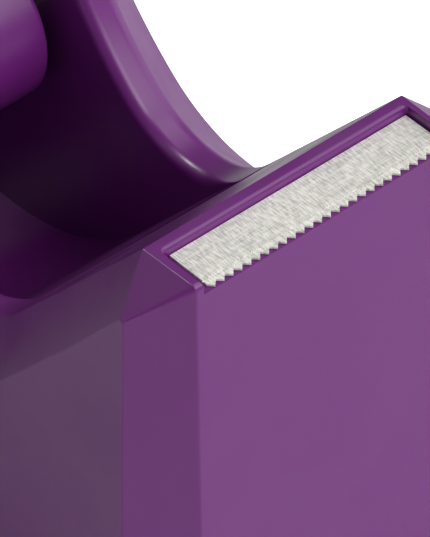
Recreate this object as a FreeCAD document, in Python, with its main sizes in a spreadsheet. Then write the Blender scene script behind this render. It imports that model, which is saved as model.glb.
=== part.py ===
"""Desk tape dispenser with a chamfered moulded housing, a toothed cutter and a lift-out hub.

Frame: X runs across the width, +Y towards the back, +Z up. The origin is the middle of the footprint on the
desk. All sizes are in millimetres and come from the spreadsheet "sizes"; angles there are in degrees.
"""

import FreeCAD, Part
import math
import os
import Sketcher

SIZES = {
    # housing, outside
    "body_length": 124.0,      # front face to back face at the foot
    "foot_gap": 1.0,           # the housing's lower edge above the desk
    "tower_height": 71.0,      # desk to the top of the cutter tower
    "rim_depth": 9.55,         # tower top, front to back
    "rim_half_width": 21.0,     # tower top, middle to the start of the side bevel
    "side_bevel": 6.4,         # bevel that runs round each side face
    "side_draft": 1.8,
    "front_draft": 1.1,
    "back_draft": 1.5,
    "slope_angle": 48.5,       # back of the tower, below level
    "valley_height": 38.6,     # lowest point of the cheek line
    "valley_radius": 15.6,
    "rise_start": 42.0,        # where the tight valley curve hands over to the long one
    "rise_radius": 56.0,
    "rise_end": 60.0,          # where the long curve hands over to the hump
    "hump_radius": 29.41,
    # housing, inside
    "wall": 2.4,
    "roof": 5.0,               # tower top to the hollow below it
    "well_half_width": 16.4,
    # hub place, and the well around it
    "hub_back": 71.2,          # hub axis behind the tower's rear edge
    "hub_drop": 27.2,          # hub axis below the tower top
    "slot_width": 5.3,
    "slot_depth": 3.2,
    # cutter
    "recess_depth": 1.7,
    "recess_half_width": 20.0,
    "recess_shift": 0.25,      # the recess sits a little towards +X
    "recess_back": 1.85,       # rear bar of the rim
    "tooth_pitch": 1.43,
    "tooth_count": 27,
    "tooth_height": 0.75,
    "blade_depth": 7.55,
    "blade_shift": 0.7,
    "blade_thickness": 0.35,
    "tape_thickness": 0.1,
    "blade_gap": 0.1,
    # hub
    "drum_radius": 12.2,
    "drum_length": 28.0,
    "drum_wall": 2.0,
    "drum_round": 1.0,
    "boss_radius": 5.0,
    "boss_length": 5.0,
    "axle_radius": 2.5,
    "axle_length": 38.0,
    "axle_clearance": 0.05,
    "washer_radius": 4.5,
    "washer_thickness": 0.8,
    "clip_thickness": 0.6,
    "clip_radius": 4.3,
    "clip_groove": 2.0,
    # base
    "pad_thickness": 1.8,
    "pad_inset": 3.0,
    "cover_thickness": 2.4,
    "cover_gap": 0.3,
    "screw_x": 19.5,
    "screw_y": 50.5,
    "screw_radius": 1.45,
    "pilot_radius": 1.25,
    "screw_length": 12.0,
    "screw_head_radius": 2.9,
    "screw_head_height": 1.3,
    "screw_boss_radius": 3.5,
    "weight_half_width": 13.5,
    "weight_pad": 1.0,
    "weight_top": 50.0,
    "weight_gap": 1.2,
    "rib_thickness": 1.4,
}

doc = FreeCAD.newDocument("tape_dispenser")
sheet = doc.addObject("Spreadsheet::Sheet", "sizes")
for row, (alias, value) in enumerate(SIZES.items(), start=1):
    sheet.set(f"A{row}", alias)
    sheet.set(f"B{row}", str(value))
    sheet.setAlias(f"B{row}", alias)
doc.recompute()

# Places worked out from the driving sizes, as expression texts that features are bound to.
# In a side view, u runs along +Y and v along +Z.
S = "sizes."
FOOT = S + "foot_gap"
FRONT_TOP = "(-sizes.body_length / 2 + (sizes.tower_height - sizes.foot_gap) * tan(sizes.front_draft))"
RIM_BACK = f"({FRONT_TOP} + sizes.rim_depth)"
VALLEY_V = "(sizes.valley_height + sizes.valley_radius)"
VALLEY_U = (
    f"({RIM_BACK} + (sizes.tower_height - {VALLEY_V}) / tan(sizes.slope_angle)"
    " + sizes.valley_radius / sin(sizes.slope_angle))"
)
RISE_SHIFT = "(sizes.rise_radius - sizes.valley_radius)"
RISE_U = f"({VALLEY_U} - {RISE_SHIFT} * sin(sizes.rise_start))"
RISE_V = f"({VALLEY_V} + {RISE_SHIFT} * cos(sizes.rise_start))"
HUMP_SHIFT = "(sizes.rise_radius + sizes.hump_radius)"
HUMP_U = f"({RISE_U} + {HUMP_SHIFT} * sin(sizes.rise_end))"
HUMP_V = f"({RISE_V} - {HUMP_SHIFT} * cos(sizes.rise_end))"
HUB_U = f"({RIM_BACK} + sizes.hub_back)"
HUB_V = "(sizes.tower_height - sizes.hub_drop)"
# The well's floor is a cylinder round the hub that the tower's back slope runs into.
WELL_RADIUS = "(sizes.hub_back * sin(sizes.slope_angle) - sizes.hub_drop * cos(sizes.slope_angle))"
COVER_TOP = "(sizes.pad_thickness + sizes.cover_thickness)"
BLADE_BACK = f"({RIM_BACK} - sizes.recess_back - sizes.blade_gap)"
FLOOR_V = "(sizes.tower_height - sizes.recess_depth)"

SIDE_VIEW = FreeCAD.Rotation(FreeCAD.Vector(1, 1, 1), 120)   # sketch x, y, normal to row Y, Z, X
CROSS_VIEW = FreeCAD.Rotation(FreeCAD.Vector(1, 0, 0), 90)
OVERSHOOT = 12.0                                             # how far a cutting tool passes the surface


def number(text):
    """The value of an expression text, as a plain float."""
    value = sheet.evalExpression(text)
    return float(getattr(value, "Value", value))


def bind(obj, **expressions):
    """Binds properties of obj to expression texts; a double underscore in a name stands for a dot."""
    for name, text in expressions.items():
        obj.setExpression(name.replace("__", "."), text)
    return obj


def place(obj, x="0", y="0", z="0", rotation=None):
    """Puts obj at a place given as three expression texts."""
    obj.Placement = FreeCAD.Placement(FreeCAD.Vector(0, 0, 0), rotation or FreeCAD.Rotation())
    return bind(obj, Placement__Base__x=x, Placement__Base__y=y, Placement__Base__z=z)


def arc_between(centre, start, end, clockwise):
    """A Part arc about centre from start to end."""
    first = math.atan2(start[1] - centre[1], start[0] - centre[0])
    last = math.atan2(end[1] - centre[1], end[0] - centre[0])
    radius = math.hypot(start[0] - centre[0], start[1] - centre[1])
    circle = Part.Circle(FreeCAD.Vector(*centre, 0), FreeCAD.Vector(0, 0, 1), radius)
    if clockwise:
        first, last = last, first
    if last < first:
        last += 2 * math.pi
    return Part.ArcOfCircle(circle, first, last)


def outline(sketch, corners, arcs=()):
    """Draws a closed outline whose corners are expression texts, and binds every corner to them.

    arcs maps the number of the stretch after a corner to (centre u, centre v, radius, clockwise).
    """
    arcs = dict(arcs)
    points = [(number(u), number(v)) for u, v in corners]
    count = len(points)
    ends = []
    for i in range(count):
        start, end = points[i], points[(i + 1) % count]
        if i in arcs:
            u, v, radius, clockwise = arcs[i]
            sketch.addGeometry(arc_between((number(u), number(v)), start, end, clockwise), False)
            ends.append((2, 1) if clockwise else (1, 2))
        else:
            line = Part.LineSegment(FreeCAD.Vector(*start, 0), FreeCAD.Vector(*end, 0))
            sketch.addGeometry(line, False)
            ends.append((1, 2))
    for i in range(count):
        j = (i + 1) % count
        sketch.addConstraint(Sketcher.Constraint("Coincident", i, ends[i][1], j, ends[j][0]))
    for i, (u, v) in enumerate(corners):
        for kind, text in (("DistanceX", u), ("DistanceY", v)):
            at = sketch.addConstraint(Sketcher.Constraint(kind, -1, 1, i, ends[i][0], number(text)))
            sketch.setExpression(f"Constraints[{at}]", text)
    for i, (u, v, radius, clockwise) in arcs.items():
        at = sketch.addConstraint(Sketcher.Constraint("Radius", i, number(radius)))
        sketch.setExpression(f"Constraints[{at}]", radius)
    return sketch


def circles(sketch, centres, radius):
    """Draws bound circles of one radius text about centres given as expression texts."""
    for u, v in centres:
        circle = Part.Circle(FreeCAD.Vector(number(u), number(v), 0), FreeCAD.Vector(0, 0, 1), number(radius))
        i = sketch.addGeometry(circle, False)
        for kind, text in (("DistanceX", u), ("DistanceY", v)):
            at = sketch.addConstraint(Sketcher.Constraint(kind, -1, 1, i, 3, number(text)))
            sketch.setExpression(f"Constraints[{at}]", text)
        at = sketch.addConstraint(Sketcher.Constraint("Radius", i, number(radius)))
        sketch.setExpression(f"Constraints[{at}]", radius)
    return sketch


def plane_of(body, role):
    """The origin plane of a body, such as XY_Plane."""
    return next(o for o in body.Origin.OriginFeatures if o.Role == role)


def body_sketch(body, name, role="XY_Plane", lift="0"):
    """An empty sketch on one of the body's origin planes, lifted along its normal."""
    sketch = body.newObject("Sketcher::SketchObject", name)
    sketch.AttachmentSupport = [(plane_of(body, role), "")]
    sketch.MapMode = "FlatFace"
    return bind(sketch, AttachmentOffset__Base__z=lift)


def pad(body, sketch, length, name):
    """A pad of a sketch along its normal."""
    feature = body.newObject("PartDesign::Pad", name)
    feature.Profile = sketch
    return bind(feature, Length=length)


def pocket(body, sketch, length, name, upwards=False):
    """A pocket of a sketch; it cuts against the sketch's normal unless upwards is true."""
    feature = body.newObject("PartDesign::Pocket", name)
    feature.Profile = sketch
    feature.Reversed = upwards
    return bind(feature, Length=length)


def new_body(label):
    """A PartDesign body with a label."""
    body = doc.addObject("PartDesign::Body", label)
    body.Label = label
    return body


def profile(name, inset, roof, foot):
    """The housing's side outline, moved inwards by inset, with its top roof below the tower's top."""
    top = f"(sizes.tower_height - ({roof}))"
    front = f"(-sizes.body_length / 2 + ({inset}) / cos(sizes.front_draft))"
    hump = f"(sizes.hump_radius - ({inset}))"
    valley = f"(sizes.valley_radius + ({inset}))"
    rise = f"(sizes.rise_radius + ({inset}))"
    back = f"({HUMP_U} + ({hump} + ({HUMP_V} - ({foot})) * sin(sizes.back_draft)) / cos(sizes.back_draft))"
    corners = [
        (f"{front} + (({foot}) - sizes.foot_gap) * tan(sizes.front_draft)", foot),
        (f"{front} + ({top} - sizes.foot_gap) * tan(sizes.front_draft)", top),
        (f"{RIM_BACK} + ({roof}) / tan(sizes.slope_angle) - ({inset}) / sin(sizes.slope_angle)", top),
        (f"{VALLEY_U} - {valley} * sin(sizes.slope_angle)", f"{VALLEY_V} - {valley} * cos(sizes.slope_angle)"),
        (f"{VALLEY_U} + {valley} * sin(sizes.rise_start)", f"{VALLEY_V} - {valley} * cos(sizes.rise_start)"),
        (f"{RISE_U} + {rise} * sin(sizes.rise_end)", f"{RISE_V} - {rise} * cos(sizes.rise_end)"),
        (f"{HUMP_U} + {hump} * cos(sizes.back_draft)", f"{HUMP_V} + {hump} * sin(sizes.back_draft)"),
        (back, foot),
    ]
    arcs = {
        3: (VALLEY_U, VALLEY_V, valley, False),
        4: (RISE_U, RISE_V, rise, False),
        5: (HUMP_U, HUMP_V, hump, True),
    }
    return outline(doc.addObject("Sketcher::SketchObject", name), corners, arcs)


def side_sections(name, mid, side, roof_mid, roof_side, foot, mid_x, side_x):
    """Four outlines across the width: side, shoulder, shoulder, side. The side ones lean with the draft."""
    lean = number("sizes.side_draft")
    sections = []
    for tag, sign in (("left", -1), ("right", 1)):
        outer = profile(f"{name}_{tag}_side", side, roof_side, foot)
        tilt = FreeCAD.Rotation(FreeCAD.Vector(0, 1, 0), -sign * lean)
        shift = f"{sign} * (({side_x}) + sizes.tower_height * tan(sizes.side_draft))"
        place(outer, x=shift, rotation=tilt.multiply(SIDE_VIEW))
        shoulder = profile(f"{name}_{tag}_shoulder", mid, roof_mid, foot)
        place(shoulder, x=f"{sign} * ({mid_x})", rotation=SIDE_VIEW)
        sections += [outer, shoulder] if sign < 0 else [shoulder, outer]
    loft = doc.addObject("Part::Loft", name)
    loft.Sections = sections
    loft.Solid = True
    loft.Ruled = True
    return loft


def extruded(sketch, name, half_width):
    """A side-view sketch extruded the same way to both sides of the middle plane."""
    place(sketch, rotation=SIDE_VIEW)
    solid = doc.addObject("Part::Extrusion", name)
    solid.Base = sketch
    solid.DirMode = "Normal"
    solid.Symmetric = True
    solid.Solid = True
    return bind(solid, LengthFwd=f"2 * ({half_width})")


def box(name, x0, x1, y0, y1, z0, z1):
    """A box between six expression texts."""
    solid = doc.addObject("Part::Box", name)
    bind(solid, Length=f"({x1}) - ({x0})", Width=f"({y1}) - ({y0})", Height=f"({z1}) - ({z0})")
    return place(solid, x0, y0, z0)


def cylinder(name, radius, height, x, y, z, rotation=None):
    """A cylinder from expression texts, standing along +Z unless turned."""
    solid = doc.addObject("Part::Cylinder", name)
    bind(solid, Radius=radius, Height=height)
    return place(solid, x, y, z, rotation)


def fuse(name, parts):
    """One Part::MultiFuse of several objects."""
    solid = doc.addObject("Part::MultiFuse", name)
    solid.Shapes = parts
    return solid


def cut(name, base, tool):
    """One Part::Cut."""
    solid = doc.addObject("Part::Cut", name)
    solid.Base = base
    solid.Tool = tool
    return solid


def well_section(name, outset):
    """Side view of the tape well: down the slope, round the hub, and straight up at the back."""
    radius = f"({WELL_RADIUS} + ({outset}))"
    start = f"({VALLEY_U} - sizes.valley_radius * sin(sizes.slope_angle) - ({outset}) * sin(sizes.slope_angle))"
    drop = f"(({VALLEY_V}) - (sizes.valley_radius + ({outset})) * cos(sizes.slope_angle))"
    above = f"(sizes.tower_height + {OVERSHOOT})"
    corners = [
        (start, above),
        (start, drop),
        (f"{HUB_U} - {radius} * sin(sizes.slope_angle)", f"{HUB_V} - {radius} * cos(sizes.slope_angle)"),
        (f"{HUB_U} + {radius}", HUB_V),
        (f"{HUB_U} + {radius}", above),
    ]
    sketch = doc.addObject("Sketcher::SketchObject", name)
    return outline(sketch, corners, {2: (HUB_U, HUB_V, radius, False)})


def slot_cutters():
    """Open-topped slots in both cheeks that the axle drops into."""
    parts = []
    inner = "sizes.well_half_width - 1"
    depth = "sizes.slot_depth + 1"
    for tag, x in (("left", f"-(({inner}) + ({depth}))"), ("right", inner)):
        turned = FreeCAD.Rotation(FreeCAD.Vector(0, 1, 0), 90)
        parts.append(cylinder(f"slot_end_{tag}", "sizes.slot_width / 2", depth, x, HUB_U, HUB_V, turned))
        parts.append(box(f"slot_run_{tag}", x, f"{x} + {depth}", f"{HUB_U} - sizes.slot_width / 2",
                         f"{HUB_U} + sizes.slot_width / 2", HUB_V, f"sizes.tower_height + {OVERSHOOT}"))
    return parts


def kept_inside():
    """What stands in the housing's hollow: the well's skin, slot backs, screw bosses and weight ribs."""
    parts = [extruded(well_section("well_skin_section", "sizes.wall"), "well_skin",
                      "sizes.well_half_width + sizes.wall")]
    reach = "(sizes.slot_width / 2 + sizes.wall)"
    half = "(sizes.well_half_width + sizes.slot_depth + sizes.wall)"
    parts.append(box("slot_backs", f"-{half}", half, f"{HUB_U} - {reach}", f"{HUB_U} + {reach}",
                     f"{HUB_V} - {reach}", f"{HUMP_V} + sizes.hump_radius - sizes.wall"))
    for tag, x, y in screw_places():
        parts.append(cylinder(f"screw_boss_{tag}", "sizes.screw_boss_radius", "sizes.tower_height",
                              x, y, COVER_TOP))
    outer = "(sizes.weight_half_width + sizes.weight_gap / 2 + sizes.rib_thickness)"
    inner = "(sizes.weight_half_width + sizes.weight_gap / 2)"
    for tag, x0, x1 in (("left", f"-{outer}", f"-{inner}"), ("right", inner, outer)):
        parts.append(box(f"weight_rib_{tag}", x0, x1, "-sizes.body_length / 2", f"{VALLEY_U}",
                         f"{COVER_TOP} + sizes.weight_pad", "sizes.weight_top"))
    return fuse("kept_inside", parts)


def screw_places():
    """Tag, x text and y text of each cover screw."""
    return [(f"{side}_{end}", f"{sx} * sizes.screw_x", f"{sy} * sizes.screw_y")
            for side, sx in (("left", -1), ("right", 1)) for end, sy in (("front", -1), ("back", 1))]


def make_body_shell():
    """The moulded housing: a bevelled outside, hollow from below, with the tape well and cutter recess."""
    outer = side_sections("outside", "0", S + "side_bevel", "0", S + "side_bevel", FOOT,
                          "sizes.rim_half_width", "sizes.rim_half_width + sizes.side_bevel")
    slant = "(sqrt(2) - 1) * sizes.wall"
    side_inset = f"(sizes.side_bevel + {slant})"
    hollow = side_sections("hollow", S + "wall", side_inset, S + "roof",
                           f"(sizes.roof + {side_inset} - sizes.wall)", "sizes.foot_gap - 1",
                           f"sizes.rim_half_width - {slant}",
                           "sizes.rim_half_width + sizes.side_bevel - sizes.wall")
    space = cut("space", hollow, kept_inside())
    well = extruded(well_section("well_section", "0"), "well", "sizes.well_half_width")
    recess = box("recess", "sizes.recess_shift - sizes.recess_half_width",
                 "sizes.recess_shift + sizes.recess_half_width",
                 f"{FRONT_TOP} - {OVERSHOOT}", f"{RIM_BACK} - sizes.recess_back", FLOOR_V,
                 f"sizes.tower_height + {OVERSHOOT}")
    pilots = [cylinder(f"pilot_{tag}", "sizes.pilot_radius", "sizes.screw_length + 2", x, y, COVER_TOP)
              for tag, x, y in screw_places()]
    tools = fuse("shell_tools", [space, well, recess, *slot_cutters(), *pilots])
    shell = cut("body_shell", outer, tools)
    shell.Label = "body_shell"
    return shell


def foot_corners(inset, height):
    """Corners of the housing's footprint at a height, moved inwards by inset, as expression texts."""
    draft = f"((sizes.tower_height - ({height})) * tan(sizes.side_draft))"
    slant = f"((sqrt(2) - 1) * ({inset}))"
    x_near = f"(sizes.rim_half_width - {slant})"
    x_far = f"(sizes.rim_half_width + sizes.side_bevel + {draft} - ({inset}))"
    y_far = f"(sizes.body_length / 2 - ({inset}))"
    y_near = f"({y_far} - sizes.side_bevel - {slant} + ({inset}))"
    ring = [(x_near, y_far, 1, -1), (x_far, y_near, 1, -1), (x_far, y_near, 1, 1), (x_near, y_far, 1, 1),
            (x_near, y_far, -1, 1), (x_far, y_near, -1, 1), (x_far, y_near, -1, -1), (x_near, y_far, -1, -1)]
    return [(f"{sx} * {x}", f"{sy} * {y}") for x, y, sx, sy in ring]


def make_bottom_cover():
    """The plate that closes the housing, with counterbored screw holes."""
    body = new_body("bottom_cover")
    sketch = outline(body_sketch(body, "cover_outline", lift=S + "pad_thickness"),
                     foot_corners("(sizes.wall + sizes.cover_gap)", "sizes.pad_thickness"))
    pad(body, sketch, S + "cover_thickness", "cover_plate")
    centres = [(x, y) for _, x, y in screw_places()]
    holes = circles(body_sketch(body, "screw_holes", lift=COVER_TOP), centres, "sizes.screw_radius + 0.1")
    pocket(body, holes, S + "cover_thickness", "screw_hole_cuts")
    seats = circles(body_sketch(body, "screw_seats", lift=S + "pad_thickness"), centres,
                    "sizes.screw_head_radius + 0.2")
    pocket(body, seats, "sizes.screw_head_height + 0.1", "screw_seat_cuts", upwards=True)
    return body


def make_base_pad():
    """The non-slip foam pad that covers the screws and stands on the desk."""
    body = new_body("base_pad")
    sketch = outline(body_sketch(body, "pad_outline"),
                     foot_corners("(sizes.wall + sizes.pad_inset)", "sizes.pad_thickness"))
    pad(body, sketch, S + "pad_thickness", "pad_sheet")
    return body


def make_cover_screws():
    """Four pan-head screws with cross recesses, driven up from below."""
    parts = []
    head_z = "(sizes.pad_thickness + 0.1)"
    arm = "sizes.screw_radius * 1.1"
    for tag, x, y in screw_places():
        head = cylinder(f"head_{tag}", S + "screw_head_radius", "sizes.screw_head_height", x, y, head_z)
        shank = cylinder(f"shank_{tag}", S + "screw_radius", "sizes.screw_length", x, y,
                         f"{head_z} + sizes.screw_head_height / 2")
        whole = fuse(f"screw_{tag}", [head, shank])
        bars = [box(f"cross_{tag}_{n}", f"{x} - {dx}", f"{x} + {dx}", f"{y} - {dy}", f"{y} + {dy}",
                    f"{head_z} - 1", f"{head_z} + sizes.screw_head_height / 2")
                for n, (dx, dy) in enumerate(((arm, "0.3"), ("0.3", arm)))]
        parts.append(cut(f"driven_{tag}", whole, fuse(f"cross_{tag}", bars)))
    screws = doc.addObject("Part::Compound", "cover_screws")
    screws.Links = parts
    screws.Label = "cover_screws"
    return screws


def side_block(label, corners, half_width):
    """A block with a side-view outline, centred on the middle plane."""
    body = new_body(label)
    sketch = body_sketch(body, f"{label}_outline", role="YZ_Plane")
    outline(sketch, corners)
    feature = pad(body, sketch, f"2 * ({half_width})", f"{label}_block")
    feature.SideType = "Symmetric"
    return body


def make_weights():
    """Two cast blocks: one fills the tower, one sits low behind the well."""
    foot = f"({COVER_TOP} + sizes.weight_pad)"
    gap = "(sizes.wall + sizes.weight_gap)"
    front = f"(-sizes.body_length / 2 + {gap} + sizes.tower_height * tan(sizes.front_draft))"
    back = f"(sizes.body_length / 2 - {gap} - sizes.tower_height * tan(sizes.back_draft))"

    def on_slope(v):
        return f"({RIM_BACK} + (sizes.tower_height - ({v})) / tan(sizes.slope_angle) - {gap} / sin(sizes.slope_angle))"

    knee = f"({HUB_V} - sizes.valley_radius - 4)"
    tower = side_block("front_weight", [
        (front, foot), (front, S + "weight_top"), (on_slope(S + "weight_top"), S + "weight_top"),
        (on_slope(knee), knee), (on_slope(knee), foot)], S + "weight_half_width")

    def on_floor(angle):
        radius = f"({WELL_RADIUS} + {gap} + 0.8)"
        return (f"({HUB_U} + {radius} * cos({angle}))", f"({HUB_V} - {radius} * sin({angle}))")

    low, middle, high = on_floor("68"), on_floor("48"), on_floor("27")
    rear = side_block("rear_weight", [
        (low[0], foot), (back, foot), (back, high[1]), high, middle, low], S + "weight_half_width")
    return tower, rear, on_slope(knee), low[0], front, back


def make_weight_pads(tower_end, rear_start, front, back):
    """Thin foam sheets between the weights and the cover."""
    margin = "3"
    pads = []
    for label, y0, y1 in (("front_weight_pad", front, tower_end), ("rear_weight_pad", rear_start, back)):
        solid = box(label, "-sizes.weight_half_width + 3", "sizes.weight_half_width - 3",
                    f"({y0}) + {margin}", f"({y1}) - {margin}", COVER_TOP, f"{COVER_TOP} + sizes.weight_pad")
        solid.Label = label
        pads.append(solid)
    return pads


def make_blade():
    """The cutter: a thin strip whose front edge is a row of pointed teeth."""
    body = new_body("cutter_blade")
    left = "(sizes.blade_shift - sizes.tooth_count * sizes.tooth_pitch / 2)"
    right = "(sizes.blade_shift + sizes.tooth_count * sizes.tooth_pitch / 2)"
    low = f"({FLOOR_V} + sizes.tape_thickness)"
    tip = f"({BLADE_BACK} - sizes.blade_depth)"
    plate = outline(body_sketch(body, "blade_outline", lift=low),
                    [(left, tip), (right, tip), (right, BLADE_BACK), (left, BLADE_BACK)])
    pad(body, plate, S + "blade_thickness", "blade_plate")
    notch = outline(body_sketch(body, "notch", lift=f"{low} + sizes.blade_thickness"), [
        (f"{left} - sizes.tooth_pitch / 2", f"{tip} - 0.05"),
        (f"{left} + sizes.tooth_pitch / 2", f"{tip} - 0.05"),
        (left, f"{tip} + sizes.tooth_height")])
    first = pocket(body, notch, "sizes.blade_thickness", "notch_cut")
    doc.recompute()
    row = body.newObject("PartDesign::LinearPattern", "tooth_row")
    row.Originals = [first]
    row.Direction = (plane_of(body, "YZ_Plane"), [""])
    bind(row, Length="sizes.tooth_count * sizes.tooth_pitch", Occurrences="sizes.tooth_count + 1")
    body.Tip = row
    return body


def make_blade_tape():
    """The adhesive strip that holds the blade in its recess."""
    solid = box("blade_adhesive", "sizes.recess_shift - sizes.recess_half_width + 2.5",
                "sizes.recess_shift + sizes.recess_half_width - 1.5",
                f"{BLADE_BACK} - sizes.blade_depth + sizes.tooth_height + 1.2", f"{BLADE_BACK} - 0.5",
                FLOOR_V, f"{FLOOR_V} + sizes.tape_thickness")
    solid.Label = "blade_adhesive"
    return solid


def turned_body(label, corners, arcs=()):
    """A piece turned about the hub axis from a half section: u along +X from the middle, v the radius."""
    body = new_body(label)
    sketch = body_sketch(body, f"{label}_section", role="XZ_Plane")
    outline(sketch, corners, arcs)
    feature = body.newObject("PartDesign::Revolution", f"{label}_turned")
    feature.Profile = sketch
    feature.ReferenceAxis = (sketch, ["H_Axis"])
    feature.Angle = 360
    body.Placement = FreeCAD.Placement(FreeCAD.Vector(0, 0, 0), FreeCAD.Rotation())
    return bind(body, Placement__Base__y=HUB_U, Placement__Base__z=HUB_V)


def make_hub():
    """The hub: a drum closed at its left end, a pressed-in cap at its right, on a plain axle."""
    end = "(sizes.drum_length / 2)"
    bore = "(sizes.axle_radius + sizes.axle_clearance)"
    inside = "(sizes.drum_radius - sizes.drum_wall)"
    curve = S + "drum_round"
    drum = turned_body("hub_drum", [
        (f"-{end}", bore), (f"-{end}", f"sizes.drum_radius - {curve}"), (f"-{end} + {curve}", "sizes.drum_radius"),
        (f"{end} - {curve}", "sizes.drum_radius"), (end, f"sizes.drum_radius - {curve}"), (end, inside),
        (f"-{end} + sizes.drum_wall", inside), (f"-{end} + sizes.drum_wall", "sizes.boss_radius"),
        (f"-{end} + sizes.boss_length", "sizes.boss_radius"), (f"-{end} + sizes.boss_length", bore),
    ], {1: (f"-{end} + {curve}", f"sizes.drum_radius - {curve}", curve, True),
        3: (f"{end} - {curve}", f"sizes.drum_radius - {curve}", curve, True)})
    cap = turned_body("hub_end_cap", [
        (f"{end} - sizes.boss_length", bore), (f"{end} - sizes.boss_length", "sizes.boss_radius"),
        (f"{end} - sizes.drum_wall", "sizes.boss_radius"), (f"{end} - sizes.drum_wall", inside),
        (f"{end}", inside), (f"{end}", bore)])
    half = "(sizes.axle_length / 2)"
    groove = f"({end} + {S}axle_clearance + sizes.washer_thickness + 0.05)"
    round_end = "0.4"
    axle = turned_body("hub_axle", [
        (f"-{half}", "0"), (f"-{half}", f"sizes.axle_radius - {round_end}"),
        (f"-{half} + {round_end}", "sizes.axle_radius"), (f"-{groove} - sizes.clip_thickness", "sizes.axle_radius"),
        (f"-{groove} - sizes.clip_thickness", "sizes.clip_groove"), (f"-{groove}", "sizes.clip_groove"),
        (f"-{groove}", "sizes.axle_radius"), (groove, "sizes.axle_radius"), (groove, "sizes.clip_groove"),
        (f"{groove} + sizes.clip_thickness", "sizes.clip_groove"),
        (f"{groove} + sizes.clip_thickness", "sizes.axle_radius"), (f"{half} - {round_end}", "sizes.axle_radius"),
        (half, f"sizes.axle_radius - {round_end}"), (half, "0")])
    return [drum, cap, axle]


def make_axle_fittings():
    """A thin washer and a spring clip at each end of the hub."""
    across = FreeCAD.Rotation(FreeCAD.Vector(0, 1, 0), 90)
    made = []
    face = "(sizes.drum_length / 2 + sizes.axle_clearance)"
    groove = f"({face} + sizes.washer_thickness + 0.05)"
    for tag, sign in (("left", -1), ("right", 1)):
        near = face if sign > 0 else f"(-{face} - sizes.washer_thickness)"
        disc = cylinder(f"disc_{tag}", S + "washer_radius", S + "washer_thickness", near, HUB_U, HUB_V, across)
        hole = cylinder(f"disc_hole_{tag}", "sizes.axle_radius + 0.02", S + "washer_thickness", near,
                        HUB_U, HUB_V, across)
        made.append(cut(f"axle_washer_{tag}", disc, hole))
        at = f"{groove}" if sign > 0 else f"(-{groove} - sizes.clip_thickness)"
        ring = cylinder(f"ring_{tag}", S + "clip_radius", S + "clip_thickness", at, HUB_U, HUB_V, across)
        seat = cylinder(f"ring_seat_{tag}", "sizes.clip_groove", S + "clip_thickness", at, HUB_U, HUB_V, across)
        mouth = box(f"ring_mouth_{tag}", at, f"{at} + sizes.clip_thickness", HUB_U,
                    f"{HUB_U} + sizes.clip_radius * 1.2", f"{HUB_V} - sizes.clip_groove * 0.85",
                    f"{HUB_V} + sizes.clip_groove * 0.85")
        made.append(cut(f"axle_clip_{tag}", ring, fuse(f"ring_cut_{tag}", [seat, mouth])))
        for solid, kind in ((made[-2], "washer"), (made[-1], "clip")):
            solid.Label = f"axle_{kind}_{tag}"
    return made


def check_document():
    """Stops if any object failed to compute."""
    failed = [o.Label for o in doc.Objects if {"Invalid", "Error"} & set(o.State)]
    if failed:
        raise RuntimeError(f"failed objects: {failed}")


def export(parts):
    """Writes each sub-part to parts/LABEL.step, after checking its solids."""
    os.makedirs("parts", exist_ok=True)
    for old in os.listdir("parts"):
        os.remove(os.path.join("parts", old))
    for part in parts:
        shape = part.Shape
        if shape.isNull() or not shape.isValid() or not shape.Solids:
            raise RuntimeError(f"{part.Label} has no valid solid")
        shape.exportStep(f"parts/{part.Label}.step")
        size = shape.BoundBox
        print(f"{part.Label:18s} solids {len(shape.Solids)}  volume {shape.Volume:10.1f}"
              f"  x {size.XMin:7.2f} {size.XMax:7.2f}  y {size.YMin:7.2f} {size.YMax:7.2f}"
              f"  z {size.ZMin:6.2f} {size.ZMax:6.2f}")


def main():
    """Builds every sub-part, checks the document and writes the STEP files."""
    tower_weight, rear_weight, tower_end, rear_start, front, back = make_weights()
    parts = [make_body_shell(), make_bottom_cover(), make_base_pad(), make_cover_screws(), tower_weight,
             rear_weight, *make_weight_pads(tower_end, rear_start, front, back), make_blade(),
             make_blade_tape(), *make_hub(), *make_axle_fittings()]
    doc.recompute()
    check_document()
    export(parts)
    print("hub axis y, z:", round(number(HUB_U), 3), round(number(HUB_V), 3),
          "well radius:", round(number(WELL_RADIUS), 3), "hump top:",
          round(number(f"{HUMP_V} + sizes.hump_radius"), 3), "hump centre:", round(number(HUMP_U), 3))


main()
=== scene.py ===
import logging
import math
from dataclasses import dataclass, field
from enum import Enum

import bmesh
import bpy
from mathutils import Matrix, Vector


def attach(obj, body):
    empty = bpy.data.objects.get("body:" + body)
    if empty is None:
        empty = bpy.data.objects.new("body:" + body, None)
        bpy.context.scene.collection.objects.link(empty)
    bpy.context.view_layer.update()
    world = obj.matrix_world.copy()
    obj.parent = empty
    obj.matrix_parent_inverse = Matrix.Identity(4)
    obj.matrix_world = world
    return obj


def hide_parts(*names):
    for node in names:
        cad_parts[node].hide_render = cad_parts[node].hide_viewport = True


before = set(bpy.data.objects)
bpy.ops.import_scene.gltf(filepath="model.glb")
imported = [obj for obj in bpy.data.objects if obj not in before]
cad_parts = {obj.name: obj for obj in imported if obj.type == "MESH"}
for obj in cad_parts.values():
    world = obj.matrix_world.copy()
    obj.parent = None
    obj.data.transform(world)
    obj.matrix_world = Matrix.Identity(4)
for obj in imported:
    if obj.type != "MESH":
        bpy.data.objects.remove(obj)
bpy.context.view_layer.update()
MM = 0.001
SHARP_ANGLE = 30.0
FLAT_FACE_WEIGHT = 80
log = logging.getLogger("tape_dispenser")

Point2 = tuple[float, float]
Point3 = tuple[float, float, float]
Colour = tuple[float, float, float]
Row = tuple["Stretch", float, float, float]


# --------------------------------------------------------------------------------------------------
# Shared mesh helpers
# --------------------------------------------------------------------------------------------------


def rad(degrees: float) -> float:
    """Degrees as radians."""
    return math.radians(degrees)


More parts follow.
